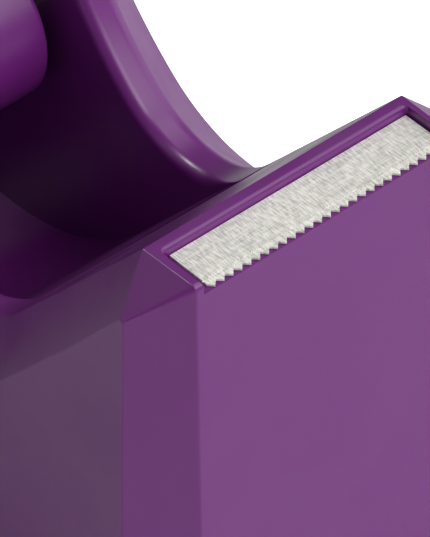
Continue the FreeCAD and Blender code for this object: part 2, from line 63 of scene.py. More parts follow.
def spread(stop: float, steps: int) -> list[float]:
    """Evenly spaced values from 0 to a last one."""
    return [stop * i / steps for i in range(steps + 1)]


def circle(radius: float, steps: int) -> list[Point2]:
    """Evenly spaced points on a circle round the origin."""
    return [(radius * math.cos(a), radius * math.sin(a)) for a in spread(2 * math.pi, steps)[:-1]]


def new_object(name: str, mesh: bpy.types.Mesh) -> bpy.types.Object:
    """Links a new object that holds a mesh.

    Args:
        name: the piece's name.
        mesh: its mesh, already in place in the row frame.

    Returns:
        The linked object, at the origin.
    """
    obj = bpy.data.objects.new(name, mesh)
    bpy.context.scene.collection.objects.link(obj)
    return obj


def mesh_from(bm: bmesh.types.BMesh, name: str, merge: float = 1e-6) -> bpy.types.Mesh:
    """Cleans a bmesh and turns it into a mesh.

    Args:
        bm: the bmesh, in metres; it is freed.
        name: the mesh's name.
        merge: vertices closer than this become one.

    Returns:
        The mesh, with its faces pointing outwards.
    """
    bmesh.ops.remove_doubles(bm, verts=bm.verts, dist=merge)
    bmesh.ops.dissolve_degenerate(bm, edges=bm.edges, dist=merge)
    bmesh.ops.recalc_face_normals(bm, faces=bm.faces)
    mesh = bpy.data.meshes.new(name)
    bm.to_mesh(mesh)
    bm.free()
    return mesh


def baked(obj: bpy.types.Object) -> bpy.types.Object:
    """Replaces an object's mesh by its evaluated one and drops its modifiers.

    Args:
        obj: the object with its modifiers.

    Returns:
        The same object.
    """
    graph = bpy.context.evaluated_depsgraph_get()
    mesh = bpy.data.meshes.new_from_object(obj.evaluated_get(graph))
    obj.modifiers.clear()
    obj.data = mesh
    return obj


def add_bevel(obj: bpy.types.Object, width: float, segments: int = 3, angle: float = 35.0) -> None:
    """Rounds an object's sharp edges with real geometry.

    Args:
        obj: the piece.
        width: bevel width in metres.
        segments: faces across each bevel.
        angle: edges sharper than this, in degrees, are rounded.
    """
    bevel = obj.modifiers.new("rounded_edges", "BEVEL")
    bevel.width = width
    bevel.segments = segments
    bevel.limit_method = "ANGLE"
    bevel.angle_limit = rad(angle)
    bevel.harden_normals = False
    bevel.miter_outer = "MITER_ARC"


def smooth(obj: bpy.types.Object) -> None:
    """Shades an object smooth and lets its large faces keep their own direction.

    Args:
        obj: the piece.
    """
    for polygon in obj.data.polygons:
        polygon.use_smooth = True
    weighted = obj.modifiers.new("weighted_normals", "WEIGHTED_NORMAL")
    weighted.mode = "FACE_AREA"
    weighted.weight = FLAT_FACE_WEIGHT
    weighted.keep_sharp = True


def sharpen(obj: bpy.types.Object, angle: float) -> None:
    """Marks an object's harder edges as sharp.

    Args:
        obj: the piece.
        angle: edges that turn by more than this, in degrees, are marked.
    """
    bm = bmesh.new()
    bm.from_mesh(obj.data)
    for edge in bm.edges:
        edge.smooth = len(edge.link_faces) == 2 and edge.calc_face_angle() < rad(angle)
    bm.to_mesh(obj.data)
    bm.free()


def cut_by(obj: bpy.types.Object, cutter: bpy.types.Object) -> bpy.types.Object:
    """Subtracts a closed cutter from a closed object and removes the cutter.

    Args:
        obj: the object that is cut.
        cutter: the solid that is taken away.

    Returns:
        The cut object.
    """
    cut = obj.modifiers.new("cut", "BOOLEAN")
    cut.operation = "DIFFERENCE"
    cut.solver = "EXACT"
    cut.object = cutter
    baked(obj)
    bpy.data.objects.remove(cutter)
    return obj


def quads(bm: bmesh.types.BMesh, low: list, high: list) -> None:
    """Makes quads between two equally long rows of vertices."""
    for a, b, c, d in zip(low, low[1:], high[1:], high):
        bm.faces.new((a, b, c, d))


def closed_quads(bm: bmesh.types.BMesh, low: list, high: list) -> None:
    """Makes quads between two equally long closed rings of vertices."""
    quads(bm, low + [low[0]], high + [high[0]])


def layered_solid(name: str, layers: list[list[Point3]]) -> bpy.types.Object:
    """A closed solid whose surface runs through rings of points.

    Args:
        name: the object's name.
        layers: rings with the same number of points each, in millimetres.

    Returns:
        The linked object.
    """
    bm = bmesh.new()
    rings = [[bm.verts.new([c * MM for c in p]) for p in ring] for ring in layers]
    for low, high in zip(rings, rings[1:]):
        closed_quads(bm, low, high)
    bm.faces.new(rings[0][::-1])
    bm.faces.new(rings[-1])
    return new_object(name, mesh_from(bm, name))


def turned(name: str, section: list[Point2], axis: Point2, steps: int = 96) -> bpy.types.Object:
    """A solid turned about a line along X.

    Args:
        name: the object's name.
        section: closed half section as (x, radius), in millimetres.
        axis: (y, z) of the line.
        steps: segments round the line.

    Returns:
        The linked object.
    """
    bm = bmesh.new()
    rings = []
    for x, radius in section:
        spots = [(x * MM, (axis[0] + y) * MM, (axis[1] + z) * MM) for y, z in circle(radius, steps)]
        rings.append([bm.verts.new(spot) for spot in spots])
    for low, high in zip(rings, rings[1:] + rings[:1]):
        closed_quads(bm, low, high)
    return new_object(name, mesh_from(bm, name, 2e-6))


def inward(before: Vector, here: Vector, after: Vector) -> tuple[Vector, float]:
    """The way into an anticlockwise outline at one of its points.

    Args:
        before: the outline's last point.
        here: the point itself.
        after: the outline's next point.

    Returns:
        The unit direction that halves the corner, and how much of it is square to the outline.
    """
    one, two = (here - before).normalized(), (after - here).normalized()
    square = Vector((-one.y, one.x))
    normal = (square + Vector((-two.y, two.x))).normalized()
    return normal, normal.dot(square)


def offset_ring(bm: bmesh.types.BMesh, ring: list, inset: float, z: float) -> list:
    """A copy of a ring of vertices round the origin, moved inwards in plan and to a height.

    Args:
        bm: the bmesh that gets the copy.
        ring: the vertices.
        inset: how far inwards, in millimetres.
        z: the copy's height in millimetres.

    Returns:
        The new vertices.
    """
    made = []
    for i, vert in enumerate(ring):
        here = vert.co.xy
        normal, share = inward(ring[i - 1].co.xy, here, ring[(i + 1) % len(ring)].co.xy)
        if normal.dot(-here) < 0:
            normal = -normal
        spot = here + normal * (inset * MM / max(0.5, abs(share)))
        made.append(bm.verts.new((spot.x, spot.y, z * MM)))
    return made


def shrunk(ring: list[Point2], inset: float) -> list[Point2]:
    """A convex anticlockwise outline moved inwards.

    Args:
        ring: the outline's points.
        inset: how far inwards.

    Returns:
        As many points.
    """
    made = []
    for i, point in enumerate(ring):
        here = Vector(point)
        normal, share = inward(Vector(ring[i - 1]), here, Vector(ring[(i + 1) % len(ring)]))
        made.append(tuple(here + normal * (inset / max(0.5, share))))
    return made


def fillet_2d(corner: Vector, before: Vector, after: Vector, radius: float, steps: int) -> list[Point2]:
    """Points of a rounding at a corner of a path.

    Args:
        corner: where the two straight stretches meet.
        before: unit direction of the path before the corner.
        after: unit direction after it.
        radius: the rounding's radius.
        steps: number of segments.

    Returns:
        One point more than the segments, from the first stretch to the second.
    """
    turn = before.angle(after)
    reach = radius * math.tan(turn / 2)
    start, end = corner - before * reach, corner + after * reach
    inner = ((end - corner) + (start - corner)).normalized()
    centre = corner + inner * (radius / math.cos(turn / 2))
    first = start - centre
    sign = 1.0 if before.x * after.y - before.y * after.x > 0 else -1.0
    points = []
    for angle in spread(sign * turn, steps):
        cos, sin = math.cos(angle), math.sin(angle)
        points.append((centre.x + first.x * cos - first.y * sin, centre.y + first.x * sin + first.y * cos))
    return points


def rounded_path(corners: list[Point3], steps: int = 4) -> list[Point2]:
    """A closed path with rounded corners.

    Args:
        corners: (a, b, radius) of each corner, in order.
        steps: segments in each rounding.

    Returns:
        The path's points.
    """
    points: list[Point2] = []
    for i, (a, b, radius) in enumerate(corners):
        here = Vector((a, b))
        last, ahead = Vector(corners[i - 1][:2]), Vector(corners[(i + 1) % len(corners)][:2])
        if radius <= 0.0:
            points.append((a, b))
        else:
            before, after = (here - last).normalized(), (ahead - here).normalized()
            points += fillet_2d(here, before, after, radius, steps)
    return points


def rounded_box(x: Point2, y: Point2, radius: float) -> list[Point2]:
    """A rectangle with rounded corners, anticlockwise.

    Args:
        x: its two ends along the first axis.
        y: its two ends along the second one.
        radius: the radius of its corners.

    Returns:
        The outline's points.
    """
    (x0, x1), (y0, y1) = x, y
    return rounded_path([(x0, y0, radius), (x1, y0, radius), (x1, y1, radius), (x0, y1, radius)])


def soft_slab(name: str, ring: list[Point2], low: float, high: float, edge: float,
              steps: int = 3) -> bpy.types.Object:
    """A flat piece with a plan outline and rounded upper and lower edges.

    Args:
        name: the object's name.
        ring: its outline in plan, anticlockwise, convex, in millimetres.
        low: its lower face's height.
        high: its upper face's height.
        edge: radius of the rounded edges.
        steps: segments in each rounded edge.

    Returns:
        The linked object.
    """
    levels = [(low + edge * (1 - math.sin(a)), edge * (1 - math.cos(a))) for a in spread(math.pi / 2, steps)]
    levels = levels[::-1]
    levels += [(high - (z - low), inset) for z, inset in levels[::-1]]
    return layered_solid(name, [[(x, y, z) for x, y in shrunk(ring, inset)] for z, inset in levels])


def dressed(obj: bpy.types.Object, node: str, body: str, material: bpy.types.Material,
            angle: float = SHARP_ANGLE) -> bpy.types.Object:
    """Gives a finished piece its material and shading and puts it in place of its node.

    Args:
        obj: the piece, at the origin.
        node: the node it stands for.
        body: the moving body it rides on.
        material: its material.
        angle: edges that turn by more than this stay sharp.

    Returns:
        The same piece.
    """
    obj.data.materials.clear()
    obj.data.materials.append(material)
    smooth(obj)
    sharpen(obj, angle)
    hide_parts(node)
    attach(obj, body)
    return obj


# --------------------------------------------------------------------------------------------------
# Repeated details
# --------------------------------------------------------------------------------------------------


def repeat_group(name: str) -> bpy.types.GeometryNodeTree:
    """A node group that adds copies of a part on a grid to the geometry it gets.

    Args:
        name: the group's name.

    Returns:
        The group, with the inputs Geometry, Part, Columns, Rows, Width, Depth, Middle and Finish.
    """
    group = bpy.data.node_groups.new(name, "GeometryNodeTree")
    sockets = group.interface
    for label, kind in (("Geometry", "Geometry"), ("Part", "Object"), ("Columns", "Int"), ("Rows", "Int"),
                        ("Width", "Float"), ("Depth", "Float"), ("Middle", "Vector"), ("Finish", "Material")):
        sockets.new_socket(name=label, in_out="INPUT", socket_type=f"NodeSocket{kind}")
    sockets.new_socket(name="Geometry", in_out="OUTPUT", socket_type="NodeSocketGeometry")
    nodes, links = group.nodes, group.links
    given, result = nodes.new("NodeGroupInput"), nodes.new("NodeGroupOutput")
    grid, place = nodes.new("GeometryNodeMeshGrid"), nodes.new("GeometryNodeTransform")
    part, copies = nodes.new("GeometryNodeObjectInfo"), nodes.new("GeometryNodeInstanceOnPoints")
    join, real = nodes.new("GeometryNodeJoinGeometry"), nodes.new("GeometryNodeRealizeInstances")
    finish = nodes.new("GeometryNodeSetMaterial")
    grid_inputs = {"Columns": "Vertices X", "Rows": "Vertices Y", "Width": "Size X", "Depth": "Size Y"}
    for socket, target in grid_inputs.items():
        links.new(given.outputs[socket], grid.inputs[target])
    links.new(grid.outputs["Mesh"], place.inputs["Geometry"])
    links.new(given.outputs["Middle"], place.inputs["Translation"])
    links.new(given.outputs["Part"], part.inputs["Object"])
    links.new(place.outputs["Geometry"], copies.inputs["Points"])
    links.new(part.outputs["Geometry"], copies.inputs["Instance"])
    links.new(copies.outputs["Instances"], join.inputs["Geometry"])
    links.new(given.outputs["Geometry"], join.inputs["Geometry"])
    links.new(join.outputs["Geometry"], real.inputs["Geometry"])
    links.new(real.outputs["Geometry"], finish.inputs["Geometry"])
    links.new(given.outputs["Finish"], finish.inputs["Material"])
    links.new(finish.outputs["Geometry"], result.inputs["Geometry"])
    return group


@dataclass(frozen=True)
class Repeat:
    """Copies of one part on a grid. Lengths are in millimetres."""

    columns: int
    rows: int
    width: float
    depth: float
    middle: Point3

    def apply(self, base: bpy.types.Object, part: bpy.types.Object,
              finish: bpy.types.Material) -> bpy.types.Object:
        """Adds the copies to a base piece as real geometry and removes the part.

        Args:
            base: the piece that gets the copies.
            part: what is copied.
            finish: the material of the whole piece.

        Returns:
            The base piece.
        """
        group = repeat_group(f"{base.name}_repeat")
        modifier = base.modifiers.new("repeat", "NODES")
        modifier.node_group = group
        values = {"Part": part, "Columns": self.columns, "Rows": self.rows, "Width": self.width * MM,
                  "Depth": self.depth * MM, "Middle": [c * MM for c in self.middle], "Finish": finish}
        for item in group.interface.items_tree:
            if item.item_type == "SOCKET" and item.in_out == "INPUT" and item.name in values:
                modifier[item.identifier] = values[item.name]
        baked(base)
        bpy.data.objects.remove(part)
        return base


# --------------------------------------------------------------------------------------------------
# The housing's side outline
# --------------------------------------------------------------------------------------------------


class Stretch(Enum):
    """The stretches of the side outline, from the front foot over the top to the back foot."""

    FRONT = "front"
    FRONT_ROUND = "front_round"
    RIM = "rim"
    RIM_ROUND = "rim_round"
    SLOPE = "slope"
    VALLEY = "valley"
    RISE = "rise"
    HUMP = "hump"
    BACK = "back"


CHEEK = (Stretch.VALLEY, Stretch.RISE, Stretch.HUMP, Stretch.BACK)


@dataclass(frozen=True)
class Tower:
    """The tower's top at one inset: its height, its two corners, and the rounding and reach at each."""

    top: float
    front: float
    back: float
    round_front: float
    round_back: float
    reach_front: float
    reach_back: float


@dataclass(frozen=True)
class Outline:
    """Side outline of the housing in millimetres; u runs along +Y and v along +Z."""

    length: float = 124.0
    foot: float = 1.0
    lip: float = 1.4
    height: float = 71.0
    rim_depth: float = 9.55
    front_draft: float = 1.1
    back_draft: float = 1.5
    slope: float = 48.5
    valley_height: float = 38.6
    valley_radius: float = 15.6
    rise_start: float = 42.0
    rise_radius: float = 56.0
    rise_end: float = 60.0
    hump_radius: float = 29.41
    bevel: float = 6.0
    rim_drop: float = 0.95
    foot_extra: float = 0.25
    slope_extra: float = 0.35
    slope_share: float = 0.4
    cheek_bevel: float = 7.3
    cheek_share: float = 0.35
    front_rounding: float = 0.9
    rim_rounding: float = 0.3
    least_rounding: float = 0.12
    most_rounded: float = 0.96

    @property
    def front_top(self) -> float:
        """Where the front face reaches the tower's top."""
        return -self.length / 2 + (self.height - self.foot) * math.tan(rad(self.front_draft))

    @property
    def rim_back(self) -> float:
        """Where the tower's top ends at the back."""
        return self.front_top + self.rim_depth

    @property
    def valley(self) -> Point2:
        """Centre of the valley's arc."""
        v = self.valley_height + self.valley_radius
        u = self.rim_back + (self.height - v) / math.tan(rad(self.slope))
        return u + self.valley_radius / math.sin(rad(self.slope)), v

    @property
    def rise(self) -> Point2:
        """Centre of the long arc up to the hump."""
        shift = self.rise_radius - self.valley_radius
        u, v = self.valley
        return u - shift * math.sin(rad(self.rise_start)), v + shift * math.cos(rad(self.rise_start))

    @property
    def hump(self) -> Point2:
        """Centre of the hump's arc."""
        shift = self.rise_radius + self.hump_radius
        u, v = self.rise
        return u + shift * math.sin(rad(self.rise_end)), v - shift * math.cos(rad(self.rise_end))

    def roundings(self, inset: float) -> Point2:
        """Radii at the tower's two upper edges, smaller further down the bevel.

        Args:
            inset: distance inwards from the outline.

        Returns:
            The radius at the front edge and at the rim's back edge.
        """
        rest = max(0.0, 1 - inset / self.bevel)
        front = self.least_rounding + (self.front_rounding - self.least_rounding) * rest
        back = self.least_rounding + (self.rim_rounding - self.least_rounding) * rest
        return front, back

    def bevel_at(self, stretch: Stretch, t: float) -> float:
        """Inset of the side bevel's outer edge: a little wider along the cheeks than on the tower.

        Args:
            stretch: which stretch of the outline.
            t: 0 at the stretch's start to 1 at its end.

        Returns:
            The inset in millimetres.
        """
        if stretch is Stretch.FRONT:
            return self.bevel + self.foot_extra * (1 - t)
        if stretch is Stretch.SLOPE:
            return self.bevel + self.slope_extra * min(1.0, t / self.slope_share)
        if stretch is Stretch.VALLEY:
            share = min(1.0, t / self.cheek_share)
            low = self.bevel + self.slope_extra
            return low + (self.cheek_bevel - low) * share * share * (3 - 2 * share)
        return self.cheek_bevel if stretch in CHEEK else self.bevel

    def point(self, stretch: Stretch, t: float, inset: float) -> Point2:
        """A point of the outline moved inwards.

        Args:
            stretch: which stretch of the outline.
            t: 0 at the stretch's start to 1 at its end.
            inset: distance inwards, square to the outline.

        Returns:
            (u, v) in millimetres.
        """
        place = self._cheek_point if stretch in CHEEK else self._tower_point
        return place(stretch, t, inset)

    def _tower(self, inset: float) -> Tower:
        """The tower's top at an inset, with roundings that leave some of it flat.

        Args:
            inset: distance inwards from the outline.

        Returns:
            The top's sizes in millimetres.
        """
        draft, slope = rad(self.front_draft), rad(self.slope)
        round_front, round_back = self.roundings(inset)
        drop = inset * self.rim_drop
        top = self.height - drop
        front = -self.length / 2 + (top - self.foot) * math.tan(draft) + inset / math.cos(draft)
        back = self.rim_back + drop / math.tan(slope) - inset / math.sin(slope)
        reach_front = round_front * math.tan((math.pi / 2 - draft) / 2)
        reach_back = round_back * math.tan(slope / 2)
        room = self.most_rounded * max(back - front, 0.02)
        scale = min(1.0, room / (reach_front + reach_back))
        return Tower(top, front, back, round_front * scale, round_back * scale,
                     reach_front * scale, reach_back * scale)

    def _tower_point(self, stretch: Stretch, t: float, inset: float) -> Point2:
        """A point from the front foot to the end of the slope.

        Args:
            stretch: a stretch of the tower.
            t: 0 at the stretch's start to 1 at its end.
            inset: distance inwards, square to the outline.

        Returns:
            (u, v) in millimetres.
        """
        draft, slope = rad(self.front_draft), rad(self.slope)
        tower = self._tower(inset)
        top = tower.top
        if stretch is Stretch.FRONT:
            high = top - tower.reach_front * math.cos(draft)
            v = self.lip + (high - self.lip) * t
            return tower.front - (top - v) * math.tan(draft), v
        if stretch is Stretch.FRONT_ROUND:
            angle, radius = (math.pi / 2 - draft) * t + draft, tower.round_front
            u = tower.front + tower.reach_front - radius * math.cos(angle)
            return u, top - radius + radius * math.sin(angle)
        if stretch is Stretch.RIM:
            low, high = tower.front + tower.reach_front, tower.back - tower.reach_back
            return low + (high - low) * t, top
        if stretch is Stretch.RIM_ROUND:
            angle, radius = math.pi / 2 - slope * t, tower.round_back
            u = tower.back - tower.reach_back + radius * math.cos(angle)
            return u, top - radius + radius * math.sin(angle)
        u0, v0 = tower.back + tower.reach_back * math.cos(slope), top - tower.reach_back * math.sin(slope)
        u1, v1 = self._cheek_point(Stretch.VALLEY, 0, inset)
        return u0 + (u1 - u0) * t, v0 + (v1 - v0) * t

    def _cheek_point(self, stretch: Stretch, t: float, inset: float) -> Point2:
        """A point from the valley over the hump to the back foot.

        Args:
            stretch: a stretch of the cheeks.
            t: 0 at the stretch's start to 1 at its end.
            inset: distance inwards, square to the outline.

        Returns:
            (u, v) in millimetres.
        """
        if stretch is Stretch.VALLEY:
            angle = -self.slope + (self.rise_start + self.slope) * t
            return self._hanging(self.valley, self.valley_radius + inset, angle)
        if stretch is Stretch.RISE:
            angle = self.rise_start + (self.rise_end - self.rise_start) * t
            return self._hanging(self.rise, self.rise_radius + inset, angle)
        if stretch is Stretch.HUMP:
            angle = rad(90 + self.rise_end + (self.back_draft - 90 - self.rise_end) * t)
            radius = self.hump_radius - inset
            return self.hump[0] + radius * math.cos(angle), self.hump[1] + radius * math.sin(angle)
        u, v = self._cheek_point(Stretch.HUMP, 1, inset)
        low = v + (self.lip - v) * t
        return u + (v - low) * math.tan(rad(self.back_draft)), low

    @staticmethod
    def _hanging(centre: Point2, radius: float, angle: float) -> Point2:
        """A point below a centre, at an angle in degrees from straight down towards the back."""
        return centre[0] + radius * math.sin(rad(angle)), centre[1] - radius * math.cos(rad(angle))

    def hump_share(self, u: float) -> float:
        """How far along the hump its rear part reaches a place.

        Args:
            u: the place, along +Y.

        Returns:
            0 at the hump's start to 1 at its end.
        """
        angle = math.degrees(math.acos((u - self.hump[0]) / self.hump_radius))
        start = 90 + self.rise_end
        return (start - angle) / (start - self.back_draft)


# --------------------------------------------------------------------------------------------------
# Finishes
# --------------------------------------------------------------------------------------------------


class Shading:
    """A new material's node tree, with short ways to add what the finishes share."""

    def __init__(self, name: str) -> None:
        """Makes a material with a Principled shader and the object's own coordinates.

        Args:
            name: the material's name.
        """
        self.material = bpy.data.materials.new(name)
        self.material.use_nodes = True
        self.nodes, self.links = self.material.node_tree.nodes, self.material.node_tree.links
        self.shader = self.nodes["Principled BSDF"]
        self.place = self.nodes.new("ShaderNodeTexCoord").outputs["Object"]

    def noise(self, scale: float | Point3, detail: float) -> bpy.types.NodeSocket:
        """A noise on the object's own coordinates.

        Args:
            scale: how fine it is, all round or along each axis.
            detail: how many finer layers it has.

        Returns:
            The noise's output socket.
        """
        texture = self.nodes.new("ShaderNodeTexNoise")
        texture.inputs["Detail"].default_value = detail
        place = self.place
        if isinstance(scale, tuple):
            mapping = self.nodes.new("ShaderNodeMapping")
            mapping.inputs["Scale"].default_value = scale
            self.links.new(place, mapping.inputs["Vector"])
            place, scale = mapping.outputs["Vector"], 1.0
        texture.inputs["Scale"].default_value = scale
        self.links.new(place, texture.inputs["Vector"])
        return texture.outputs["Fac"]

    def mixed(self, one: bpy.types.NodeSocket, two: bpy.types.NodeSocket,
              share: float) -> bpy.types.NodeSocket:
        """Two values mixed.

        Args:
            one: the first value.
            two: the second value.
            share: how much of the mix is the second one.

        Returns:
            The mix's output socket.
        """
        rest, total = self.nodes.new("ShaderNodeMath"), self.nodes.new("ShaderNodeMath")
        rest.operation, total.operation = "MULTIPLY", "MULTIPLY_ADD"
        rest.inputs[1].default_value, total.inputs[1].default_value = 1 - share, share
        self.links.new(one, rest.inputs[0])
        self.links.new(two, total.inputs[0])
        self.links.new(rest.outputs["Value"], total.inputs[2])
        return total.outputs["Value"]

    def colour(self, factor: bpy.types.NodeSocket, low: Colour, high: Colour,
               span: Point2 = (0.3, 0.7)) -> None:
        """Colours the shader by a ramp between two colours.

        Args:
            factor: what runs along the ramp.
            low: the colour at its lower end.
            high: the colour at its upper end.
            span: where the two ends are.
        """
        ramp = self.nodes.new("ShaderNodeValToRGB")
        for element, position, colour in zip(ramp.color_ramp.elements, span, (low, high)):
            element.position = position
            element.color = (*colour, 1.0)
        self.links.new(factor, ramp.inputs["Fac"])
        self.links.new(ramp.outputs["Color"], self.shader.inputs["Base Color"])

    def roughness(self, factor: bpy.types.NodeSocket, low: float, high: float) -> None:
        """Varies the shader's roughness softly.

        Args:
            factor: what it follows.
            low: the least roughness.
            high: the most.
        """
        rough = self.nodes.new("ShaderNodeMapRange")
        rough.interpolation_type = "SMOOTHERSTEP"
        limits = {"From Min": 0.3, "From Max": 0.7, "To Min": low, "To Max": high}
        for label, value in limits.items():
            rough.inputs[label].default_value = value
        self.links.new(factor, rough.inputs["Value"])
        self.links.new(rough.outputs["Result"], self.shader.inputs["Roughness"])

    def bump(self, height: bpy.types.NodeSocket, strength: float, distance: float) -> None:
        """Makes the surface uneven.

        Args:
            height: what it follows.
            strength: how strongly it shows.
            distance: how deep it is, in metres.
        """
        node = self.nodes.new("ShaderNodeBump")
        node.inputs["Strength"].default_value = strength
        node.inputs["Distance"].default_value = distance
        self.links.new(height, node.inputs["Height"])
        self.links.new(node.outputs["Normal"], self.shader.inputs["Normal"])


@dataclass(frozen=True)
class MouldedPlastic:
    """Satin moulded plastic: faint flow marks, a little wear and, on the hub, a fine grain."""

    name: str = "purple_plastic"
    colour: Colour = (0.17, 0.0165, 0.203)
    shade: Colour = (0.158, 0.0155, 0.19)
    flow_scale: float = 22.0
    wear_scale: float = 90.0
    roughness: float = 0.34
    grain: Point3 | None = None
    grain_strength: float = 0.35
    grain_depth: float = 0.00006
    ior: float = 1.5

    def build(self) -> bpy.types.Material:
        """Makes the material.

        Returns:
            The material.
        """
        tree = Shading(self.name)
        tree.colour(tree.noise(self.flow_scale, 3.0), self.shade, self.colour)
        tree.roughness(tree.noise(self.wear_scale, 2.0), self.roughness - 0.03, self.roughness + 0.06)
        if self.grain:
            tree.bump(tree.noise(self.grain, 1.0), self.grain_strength, self.grain_depth)
        tree.shader.inputs["IOR"].default_value = self.ior
        return tree.material


@dataclass(frozen=True)
class BrushedMetal:
    """Bare sheet or turned metal with fine scratches that run one way, or two ways on the cutter."""

    name: str
    colour: Colour
    roughness: float = 0.34
    scratches: Point3 = (900.0, 90.0, 900.0)
    metallic: float = 0.95
    strength: float = 0.12
    depth: float = 0.00004
    dark_share: float = 0.82
    crossing: Point3 | None = None
    crossing_share: float = 0.28
    span: Point2 = (0.3, 0.7)

    def build(self) -> bpy.types.Material:
        """Makes the material.

        Returns:
            The material.
        """
        tree = Shading(self.name)
        lines = tree.noise(self.scratches, 6.0)
        if self.crossing:
            lines = tree.mixed(lines, tree.noise(self.crossing, 4.0), self.crossing_share)
        tree.colour(lines, tuple(c * self.dark_share for c in self.colour), self.colour, self.span)
        tree.shader.inputs["Metallic"].default_value = self.metallic
        tree.roughness(tree.noise(120.0, 3.0), self.roughness - 0.05, self.roughness + 0.08)
        tree.bump(lines, self.strength, self.depth)
        return tree.material


@dataclass(frozen=True)
class GrainyFinish:
    """A dull material with an uneven surface, such as foam, cast iron or textured plastic."""

    name: str
    colour: Colour
    second: Colour
    roughness: float = 0.8
    scale: float = 900.0
    strength: float = 0.5
    depth: float = 0.0002
    metallic: float = 0.0

    def build(self) -> bpy.types.Material:
        """Makes the material.

        Returns:
            The material.
        """
        tree = Shading(self.name)
        grain = tree.noise(self.scale, 4.0)
        tree.colour(grain, self.colour, self.second)
        tree.shader.inputs["Roughness"].default_value = self.roughness
        tree.shader.inputs["Metallic"].default_value = self.metallic
        tree.bump(grain, self.strength, self.depth)
        return tree.material


PURPLE = MouldedPlastic()
HUB_PURPLE = MouldedPlastic("hub_plastic", grain=(26.0, 420.0, 420.0))
BLADE_STEEL = BrushedMetal("blade_steel", (0.98, 0.965, 0.9), 0.5, (5600.0, 800.0, 900.0), metallic=0.15,
                           dark_share=0.5, crossing=(300.0, 2600.0, 900.0), span=(0.34, 0.6))
AXLE_STEEL = BrushedMetal("axle_steel", (0.6, 0.6, 0.59), 0.35, (1800.0, 200.0, 200.0))
SPRING_STEEL = BrushedMetal("spring_steel", (0.12, 0.12, 0.13), 0.35, (700.0, 700.0, 700.0))
ZINC_STEEL = BrushedMetal("zinc_steel", (0.6, 0.6, 0.56), 0.36, (500.0, 500.0, 500.0))
BLACK_PLASTIC = GrainyFinish("black_plastic", (0.012, 0.012, 0.013), (0.02, 0.02, 0.021), 0.5, 2600.0,
                             0.25, 0.0001)
FOAM = GrainyFinish("foam_pad", (0.012, 0.012, 0.012), (0.035, 0.035, 0.035), 0.9, 1500.0, 0.8, 0.0003)
CAST_IRON = GrainyFinish("cast_weight", (0.06, 0.058, 0.056), (0.14, 0.135, 0.13), 0.65, 700.0,
                         0.6, 0.0003, metallic=0.8)
NYLON = GrainyFinish("washer_nylon", (0.68, 0.67, 0.62), (0.74, 0.73, 0.69), 0.45, 1200.0, 0.1, 0.0001)
ADHESIVE = GrainyFinish("adhesive_strip", (0.7, 0.69, 0.62), (0.78, 0.77, 0.72), 0.7, 2200.0, 0.3, 0.0001)
TABLE = GrainyFinish("table_white", (0.93, 0.93, 0.93), (0.95, 0.95, 0.95), 0.9, 40.0, 0.02, 0.0001)


@dataclass
class Finishes:
    """Every material of the dispenser, built once."""

    body: bpy.types.Material = field(default_factory=PURPLE.build)
    hub: bpy.types.Material = field(default_factory=HUB_PURPLE.build)
    blade: bpy.types.Material = field(default_factory=BLADE_STEEL.build)
    axle: bpy.types.Material = field(default_factory=AXLE_STEEL.build)
    clip: bpy.types.Material = field(default_factory=SPRING_STEEL.build)
    zinc: bpy.types.Material = field(default_factory=ZINC_STEEL.build)
    cover: bpy.types.Material = field(default_factory=BLACK_PLASTIC.build)
    foam: bpy.types.Material = field(default_factory=FOAM.build)
    iron: bpy.types.Material = field(default_factory=CAST_IRON.build)
    nylon: bpy.types.Material = field(default_factory=NYLON.build)
    strip: bpy.types.Material = field(default_factory=ADHESIVE.build)


# --------------------------------------------------------------------------------------------------
# Housing
# --------------------------------------------------------------------------------------------------


